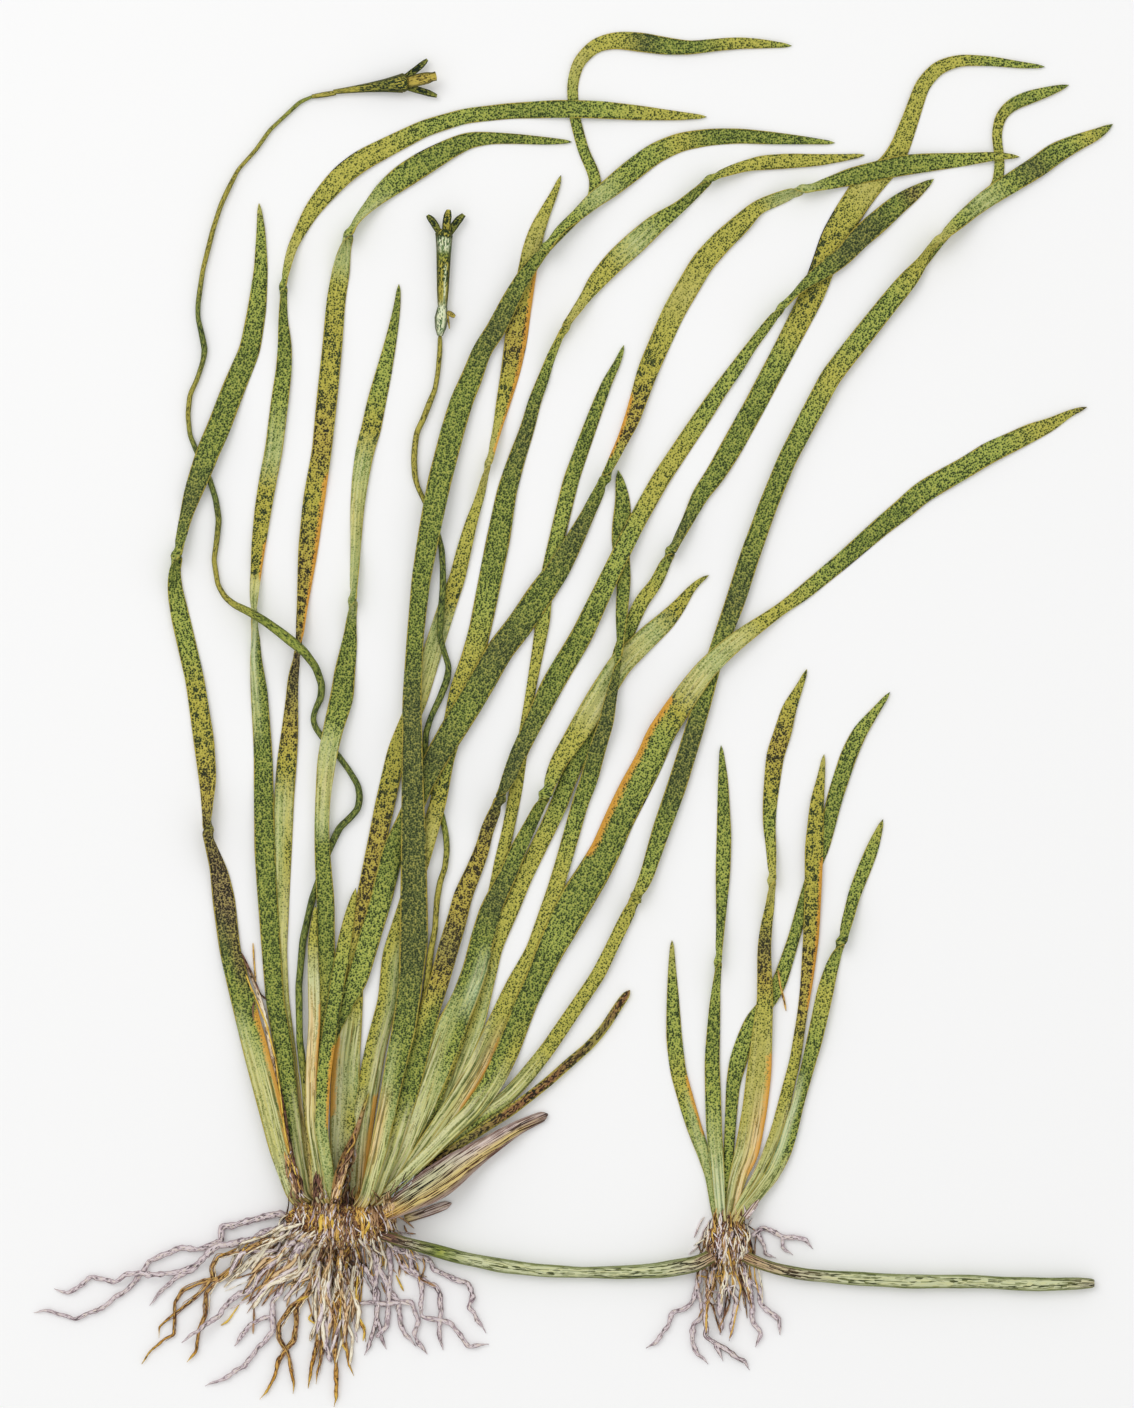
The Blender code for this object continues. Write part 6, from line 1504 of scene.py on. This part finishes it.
# %% Fine strands
MOTHER_PARTS = ("leaf", "young", "old", "small", "root", "cut", "dead", "flower", "runner")
CROWN_SET = ["crown"] + [name for name in solids if name.startswith(MOTHER_PARTS)]
DAUGHTER_SET = [name for name in solids if name.startswith(("daughter", "runner"))]
TOP = cad_box[1][2]
FIBRE_SMOOTH = 1.5
FINE = {
    "fibre brown": [
        [(296, 1234), (283, 1230), (275, 1231), (277, 1237), (273, 1244), (271, 1252), (274, 1259),
         (275, 1268), (274, 1277), (271, 1284)],
        [(312, 1227), (300, 1240), (293, 1252), (288, 1263), (283, 1275), (275, 1282)],
        [(319, 1236), (306, 1252), (295, 1267), (285, 1282), (270, 1294), (261, 1307)],
        [(273, 1267), (266, 1279), (258, 1292), (254, 1303), (254, 1319), (253, 1334)],
        [(268, 1269), (258, 1282), (249, 1301)],
        [(381, 1282), (386, 1294), (398, 1296)],
        [(398, 1246), (401, 1259), (406, 1273), (413, 1275)],
        [(406, 1250), (413, 1263), (421, 1279), (436, 1286)],
        [(423, 1256), (425, 1267), (421, 1279)],
        [(404, 1225), (407, 1233), (417, 1234)]],
    "fibre ochre": [
        [(256, 1236), (245, 1246), (239, 1261), (228, 1273), (220, 1282)],
        [(220, 1254), (239, 1248)],
        [(386, 1242), (388, 1252), (383, 1267)]],
    "fibre yellow": [
        [(239, 1305), (228, 1321), (220, 1326)],
        [(327, 1267), (316, 1282), (312, 1294), (296, 1301)],
        [(312, 1313), (308, 1319), (316, 1324), (323, 1326), (329, 1335)],
        [(335, 1282), (329, 1305), (323, 1328), (325, 1349)],
        [(342, 1284), (340, 1313), (342, 1344), (348, 1353)],
        [(358, 1275), (356, 1294), (360, 1319), (365, 1328), (363, 1342)],
        [(396, 1275), (404, 1292)]],
    "fibre purple": [
        [(361, 1273), (375, 1298), (379, 1305), (377, 1319)],
        [(367, 1267), (371, 1279), (379, 1292)],
        [(358, 1303), (381, 1302), (402, 1302), (411, 1305)],
        [(388, 1267), (390, 1279), (386, 1294), (392, 1305)],
        [(258, 1254), (274, 1256), (293, 1259)]],
}
DEAD_EDGE = {
    "fibre yellow": [
        [(246, 974), (253, 992), (260, 1008), (267, 1024), (276, 1060), (281, 1096), (285, 1130),
         (291, 1158), (299, 1182)]],
    "fibre ochre": [[(253, 943), (254, 960), (256, 985)]],
    "fibre dark": [
        [(242, 953), (252, 974), (261, 995), (269, 1001)],
        [(255, 997), (253, 1010), (254, 1020)],
        [(279, 1080), (287, 1120), (291, 1150), (297, 1178), (302, 1200)],
        [(284, 1112), (290, 1142), (297, 1172), (304, 1202)],
        [(289, 1150), (294, 1178), (299, 1206)],
        [(282, 1100), (289, 1135), (295, 1165), (300, 1190), (306, 1204)]],
}
DAUGHTER_FINE = {
    "fibre brown": [
        [(713, 1241), (707, 1253), (698, 1272), (696, 1278)],
        [(716, 1249), (707, 1272), (706, 1287), (707, 1299), (713, 1306), (716, 1318), (721, 1333)],
        [(727, 1257), (727, 1278), (727, 1296), (730, 1302), (726, 1313), (719, 1327)],
        [(738, 1257), (742, 1278), (748, 1290), (752, 1309)]],
    "fibre ochre": [
        [(722, 1257), (716, 1278), (713, 1293), (707, 1302), (706, 1318), (706, 1333)],
        [(733, 1257), (735, 1272), (741, 1287), (739, 1299), (736, 1312), (733, 1327), (729, 1339)],
        [(698, 1275), (710, 1278), (722, 1275), (735, 1272)],
        [(778, 970), (780, 985), (784, 1000), (786, 1011)]],
    "fibre purple": [
        [(706, 1287), (716, 1293), (729, 1287), (738, 1284)],
        [(710, 1306), (721, 1301), (727, 1299)],
        [(744, 1220), (752, 1211), (758, 1204)],
        [(748, 1226), (753, 1217)]],
}
LOOPS = {
    "root pale": [
        [(388, 1246), (391, 1268), (389, 1290), (388, 1312), (387, 1326), (376, 1337)],
        [(373, 1250), (377, 1270), (375, 1290), (375, 1303)],
        [(360, 1303), (372, 1302), (386, 1304), (402, 1301)],
        [(410, 1252), (411, 1268), (420, 1276)],
        [(324, 1318), (327, 1330), (326, 1346), (331, 1362)]],
}


def draped(piece, points, names, look, radius, step=2):
    """Adds a strand that lies on the highest of these solids along its way."""
    course = Course([(*point, 2) for point in points], FIBRE_SMOOTH)
    keep = slice(None, None, step)
    x, y = course.x[keep], course.y[keep]
    ground = highest(names, x, y)
    z = np.maximum(blur(ground, 1.5), ground * 0.6 + blur(ground, 3) * 0.4) + radius * 0.8
    z = np.clip(z, radius, TOP - radius)
    size = radius * knobbly(len(x), 0.12)
    size = size * np.clip(np.minimum(np.arange(len(x)), np.arange(len(x))[::-1]) / 3 + 0.35, 0, 1)
    tube(piece, x, y, z, size, *look, sides=6, seed=float(random.uniform(0, 1)))


for name, groups, names, radius, finish, slot in (
        ("fine_strands", FINE, CROWN_SET, 0.0003, FIBRE, "root_brown"),
        ("pale_loops", LOOPS, CROWN_SET, 0.0008, ROOT_PALE, "root_pale"),
        ("dead_leaf_threads", DEAD_EDGE, CROWN_SET, 0.00028, FIBRE, "root_brown"),
        ("daughter_fine_strands", DAUGHTER_FINE, DAUGHTER_SET, 0.0003, FIBRE, "root_brown")):
    piece = Piece(name)
    for look_name, strands in groups.items():
        for points in strands:
            draped(piece, points, names, tone(look_name), radius)
    piece.finish(finish, slot)

# %% [markdown]
# Old leaf bases rot down to fibres, which run on into the roots. They are drawn at random: wedges
# that reach up between the feet of the leaves, yellow shreds on the rootstock, and a mop that fans
# out below it, of thin fibres and of straws whose flanks carry painted brown shade, like an
# outline. The numbers come from a seeded generator, so the tangle is the same every time.

# %% Fibres
BEND = 0.09


def tangle(name, groups, names, finish=FIBRE):
    """Many fine fibres, in groups: how many, the places where they start and the spread about them,
    the origin, the shortest and the longest, the wobble, the tones, and the thinnest and thickest.

    A fibre starts near a noted place, heads away from the group's origin, and bends twice.
    """
    piece = Piece(name)
    for count, starts, spread, origin, lengths, wobble, looks, radii in groups:
        for number in range(count):
            start = np.array(starts[number % len(starts)], float) + random.normal(0, 1, 2) * spread
            heading = start - origin
            heading = heading / max(np.hypot(*heading), 1e-6) + random.normal(0, wobble, 2)
            heading /= np.hypot(*heading)
            across = np.array([-heading[1], heading[0]])
            length = random.uniform(*lengths)
            bend = random.normal(0, length * BEND, 2)
            points = [start, start + heading * length * 0.33 + across * bend[0],
                      start + heading * length * 0.66 + across * bend[1], start + heading * length]
            look = tone("fibre " + looks[number % len(looks)])
            draped(piece, points, names, look, random.uniform(*radii), 3)
    piece.finish(finish, "crown")


WEDGES = [(318, 1176), (321, 1188), (327, 1196), (347, 1194), (361, 1194), (374, 1200), (387, 1196)]
LEFT_WEDGE = [(289, 1150), (293, 1164), (297, 1180), (301, 1194)]
RIGHT_WEDGE = [(378, 1202), (386, 1198), (394, 1196)]
STRIP = [(354, 1142), (350, 1156), (346, 1172), (341, 1188), (338, 1200)]
FEET = [(x, 1208 + abs(x - 338) * 0.1) for x in range(286, 396, 3)]
CORE = [(334, 1222), (341, 1230), (348, 1226), (345, 1244)]
LEFT_FAN = [(x, 1236 - abs(x - 322) * 0.2) for x in range(286, 334, 3)]
MIDDLE_FAN = [(x, 1238) for x in range(322, 356, 3)]
LOW_FAN = [(x, 1264) for x in range(318, 356, 3)]
RIGHT_FAN = [(x, 1234) for x in range(360, 404, 4)]
DAUGHTER_TOP = [(x, 1214) for x in range(714, 744, 3)]
DAUGHTER_KNOB = [(x, 1230) for x in range(708, 748, 3)]
DAUGHTER_MOP = [(x, 1250) for x in range(708, 748, 3)]
GOLD = [(322, 1210), (330, 1214), (366, 1219), (343, 1258), (344, 1270)]
DARKS = ("dark", "brown", "purple", "dark", "ochre", "brown", "tan")
TANS = ("cream", "brown", "tan", "cream", "dark", "purple", "ochre")
MIXED = ("cream", "brown", "purple", "tan", "dark", "cream", "ochre")
WEAVE = ("purple", "dark", "cream", "dark", "purple", "brown")
LINES = ("dark", "dark", "blue")
STRAWS = ("cream", "purple", "cream", "tan")
tangle("fibres", [
    (90, WEDGES, (2.2, 5), (332, 960), (16, 36), 0.05, DARKS, (0.00018, 0.0004)),
    (56, LEFT_WEDGE, (1.8, 4), (262, 1000), (16, 34), 0.05, DARKS, (0.00016, 0.00036)),
    (60, STRIP, (1.8, 5), (395, 1000), (18, 34), 0.05, DARKS, (0.00016, 0.00036)),
    (12, RIGHT_WEDGE, (4, 3), (318, 1262), (24, 46), 0.04, LINES, (0.0001, 0.00016)),
    (70, FEET, (3, 8), (340, 1110), (12, 34), 0.2, WEAVE, (0.00014, 0.0003)),
    (30, FEET[4:-4], (3, 4), (340, 1420), (8, 26), 0.1, DARKS, (0.00014, 0.0003)),
    (84, CORE, (8, 10), (348, 1000), (26, 60), 0.06, DARKS, (0.00016, 0.00036)),
    (16, GOLD, (4, 3), (340, 900), (9, 20), 0.2, ("yellow", "ochre"), (0.0003, 0.0006)),
    (54, LEFT_FAN, (4, 6), (396, 1130), (34, 98), 0.06, TANS, (0.00014, 0.00028)),
    (40, MIDDLE_FAN, (3, 6), (350, 900), (40, 104), 0.03, MIXED, (0.00014, 0.00028)),
    (32, RIGHT_FAN, (4, 6), (346, 1150), (18, 52), 0.14, MIXED, (0.00014, 0.00026)),
], CROWN_SET)
tangle("mop_strands", [
    (28, LEFT_FAN, (3, 5), (396, 1130), (36, 92), 0.05, STRAWS, (0.0004, 0.0007)),
    (24, LOW_FAN, (3, 9), (350, 900), (36, 98), 0.025, STRAWS, (0.0004, 0.00072)),
    (10, RIGHT_FAN, (3, 4), (346, 1150), (20, 44), 0.1, STRAWS, (0.00035, 0.0006)),
], CROWN_SET, STRAW)
tangle("daughter_fibres", [
    (36, DAUGHTER_TOP, (2, 4), (727, 1080), (14, 34), 0.06, DARKS, (0.00014, 0.0003)),
    (80, DAUGHTER_KNOB, (3, 6), (727, 1120), (20, 44), 0.16, WEAVE, (0.00014, 0.0003)),
    (64, DAUGHTER_MOP, (2, 5), (727, 1150), (24, 62), 0.1, MIXED, (0.00014, 0.00028)),
], DAUGHTER_SET)

# %% [markdown]
# What is left of older leaves: a torn sheath with lengthwise folds, a shrivelled one below it, two
# dead strips and the thick stump of a leaf that was cut. They are ribbons too, with other colours,
# and the torn sheath is folded like a fan.

# %% Sheaths, dead strips and the cut stump
LEFT_NARROW = 0.62


def husk(name, node, points, phase, finish, slot, dress, folds=0.0, fringe=None, **shape):
    """A ribbon in dead colours. Folds lift it by a cosine across; a fringe is the tone of its edges."""
    piece = Piece(name)
    ribbon(piece, node, points, phase, dress, dress[0][2], **shape)
    loop = round_trip(shape.get("columns", COLUMNS))[0][0]
    rows = piece.points[0].reshape(-1, len(loop), 3)
    rows[:, :, 2] += folds * np.cos(loop * 15 + np.linspace(0, 5, len(rows))[:, None])
    if fringe:
        share = np.broadcast_to(np.clip(np.abs(loop) * 3 - 1.9, 0, 1), rows.shape[:2]).reshape(-1, 1)
        for key, look in zip(("ground", "ink"), tone(fringe)):
            values = piece.layers[key][0]
            piece.layers[key][0] = values + (look - values) * share
    piece.finish(finish, slot, node)


husk("old_sheath_folds", "old_sheath", OLD_SHEATH, 1.0, SHEATH, "sheath",
     [(548, 1114, "sheath grey"), (520, 1126, "sheath grey", "sheath tan"),
      (480, 1151, "sheath grey", "sheath tan"), (440, 1178, "sheath white", "sheath tan"),
      (410, 1197, "sheath white", "sheath tan"), (388, 1210, "fibre ochre")],
     folds=0.0004, fringe="sheath grey", columns=29, half=0.0003)
husk("small_sheath_folds", "small_sheath", SMALL_SHEATH, 0.3, SHEATH, "sheath",
     [(452, 1203, "sheath grey"), (425, 1213, "sheath grey"), (405, 1219, "sheath tan")], folds=0.0002)
husk("daughter_sheath_folds", "daughter_sheath", DAUGHTER_SHEATH, 0.9, SHEATH, "sheath",
     [(759, 1198, "sheath grey"), (745, 1217, "sheath grey")])
narrow = [(*place[:2], place[2] * LEFT_NARROW) for place in DEAD_LEFT]
husk("dead_strip_left_skin", "dead_strip_left", narrow, 1.2, DEAD, "dead_leaf",
     [(240, 952, "dead"), (266, 1020, "fibre cream"), (280, 1100, "dead"), (302, 1198, "dead dark")],
     trough=0.16)
husk("dead_strip_middle_skin", "dead_strip_middle", DEAD_MIDDLE, 0.7, DEAD, "dead_leaf",
     [(368, 1095, "stub edge"), (360, 1120, "fibre brown"), (345, 1155, "dead dark"),
      (338, 1197, "dead dark")],
     fringe="fibre ochre", trough=0.16)
husk("cut_stub_skin", "cut_stub", STUB, 0.5, STUB_SKIN, "stalk",
     [(630, 990, "dead dark"), (622, 1001, "dead dark"), (600, 1035, "brown"), (550, 1080, "dead dark"),
      (510, 1111, "dead dark"), (467, 1139, "brown"), (418, 1172, "dead dark"), (390, 1199, "dead dark")],
     fringe="stub edge", half=0.0006, trough=0.12)

# %% [markdown]
# A plain pale table and soft light: one large lamp to the upper left gives the leaves an edge of
# shade, and the pale surroundings fill the rest, so that nothing on the table gets a hard shadow.

# %% Floor and light
FLOOR_REACH, FLOOR_HEIGHT = 0.9, -0.0003
around = [(-1, -1), (1, -1), (1, 1), (-1, 1)]
corners = [(x * FLOOR_REACH, y * FLOOR_REACH, FLOOR_HEIGHT) for x, y in around]
floor_mesh = bpy.data.meshes.new("floor")
floor_mesh.from_pydata(corners, [], [(0, 1, 2, 3)])
floor = bpy.data.objects.new("floor", floor_mesh)
bpy.context.scene.collection.objects.link(floor)
floor_material = bpy.data.materials.new("table")
floor_material.use_nodes = True
floor_shader = floor_material.node_tree.nodes["Principled BSDF"]
floor_shader.inputs["Base Color"].default_value = (0.965, 0.965, 0.962, 1)
floor_shader.inputs["Roughness"].default_value = 0.9
floor_mesh.materials.append(floor_material)

world = bpy.data.worlds.new("studio")
world.use_nodes = True
surroundings = world.node_tree.nodes["Background"]
surroundings.inputs["Color"].default_value = (1.0, 1.0, 1.0, 1.0)
surroundings.inputs["Strength"].default_value = 0.80
bpy.context.scene.world = world
lamp = bpy.data.objects.new("soft_box", bpy.data.lights.new("soft_box", "AREA"))
lamp.data.shape = "DISK"
lamp.data.size = 1.6
lamp.data.energy = 14.0
lamp.location = (-1.0, 1.0, 2.0)
lamp.rotation_euler = (math.radians(-32), math.radians(-27), 0)
bpy.context.scene.collection.objects.link(lamp)
bpy.context.scene.view_settings.view_transform = "Standard"
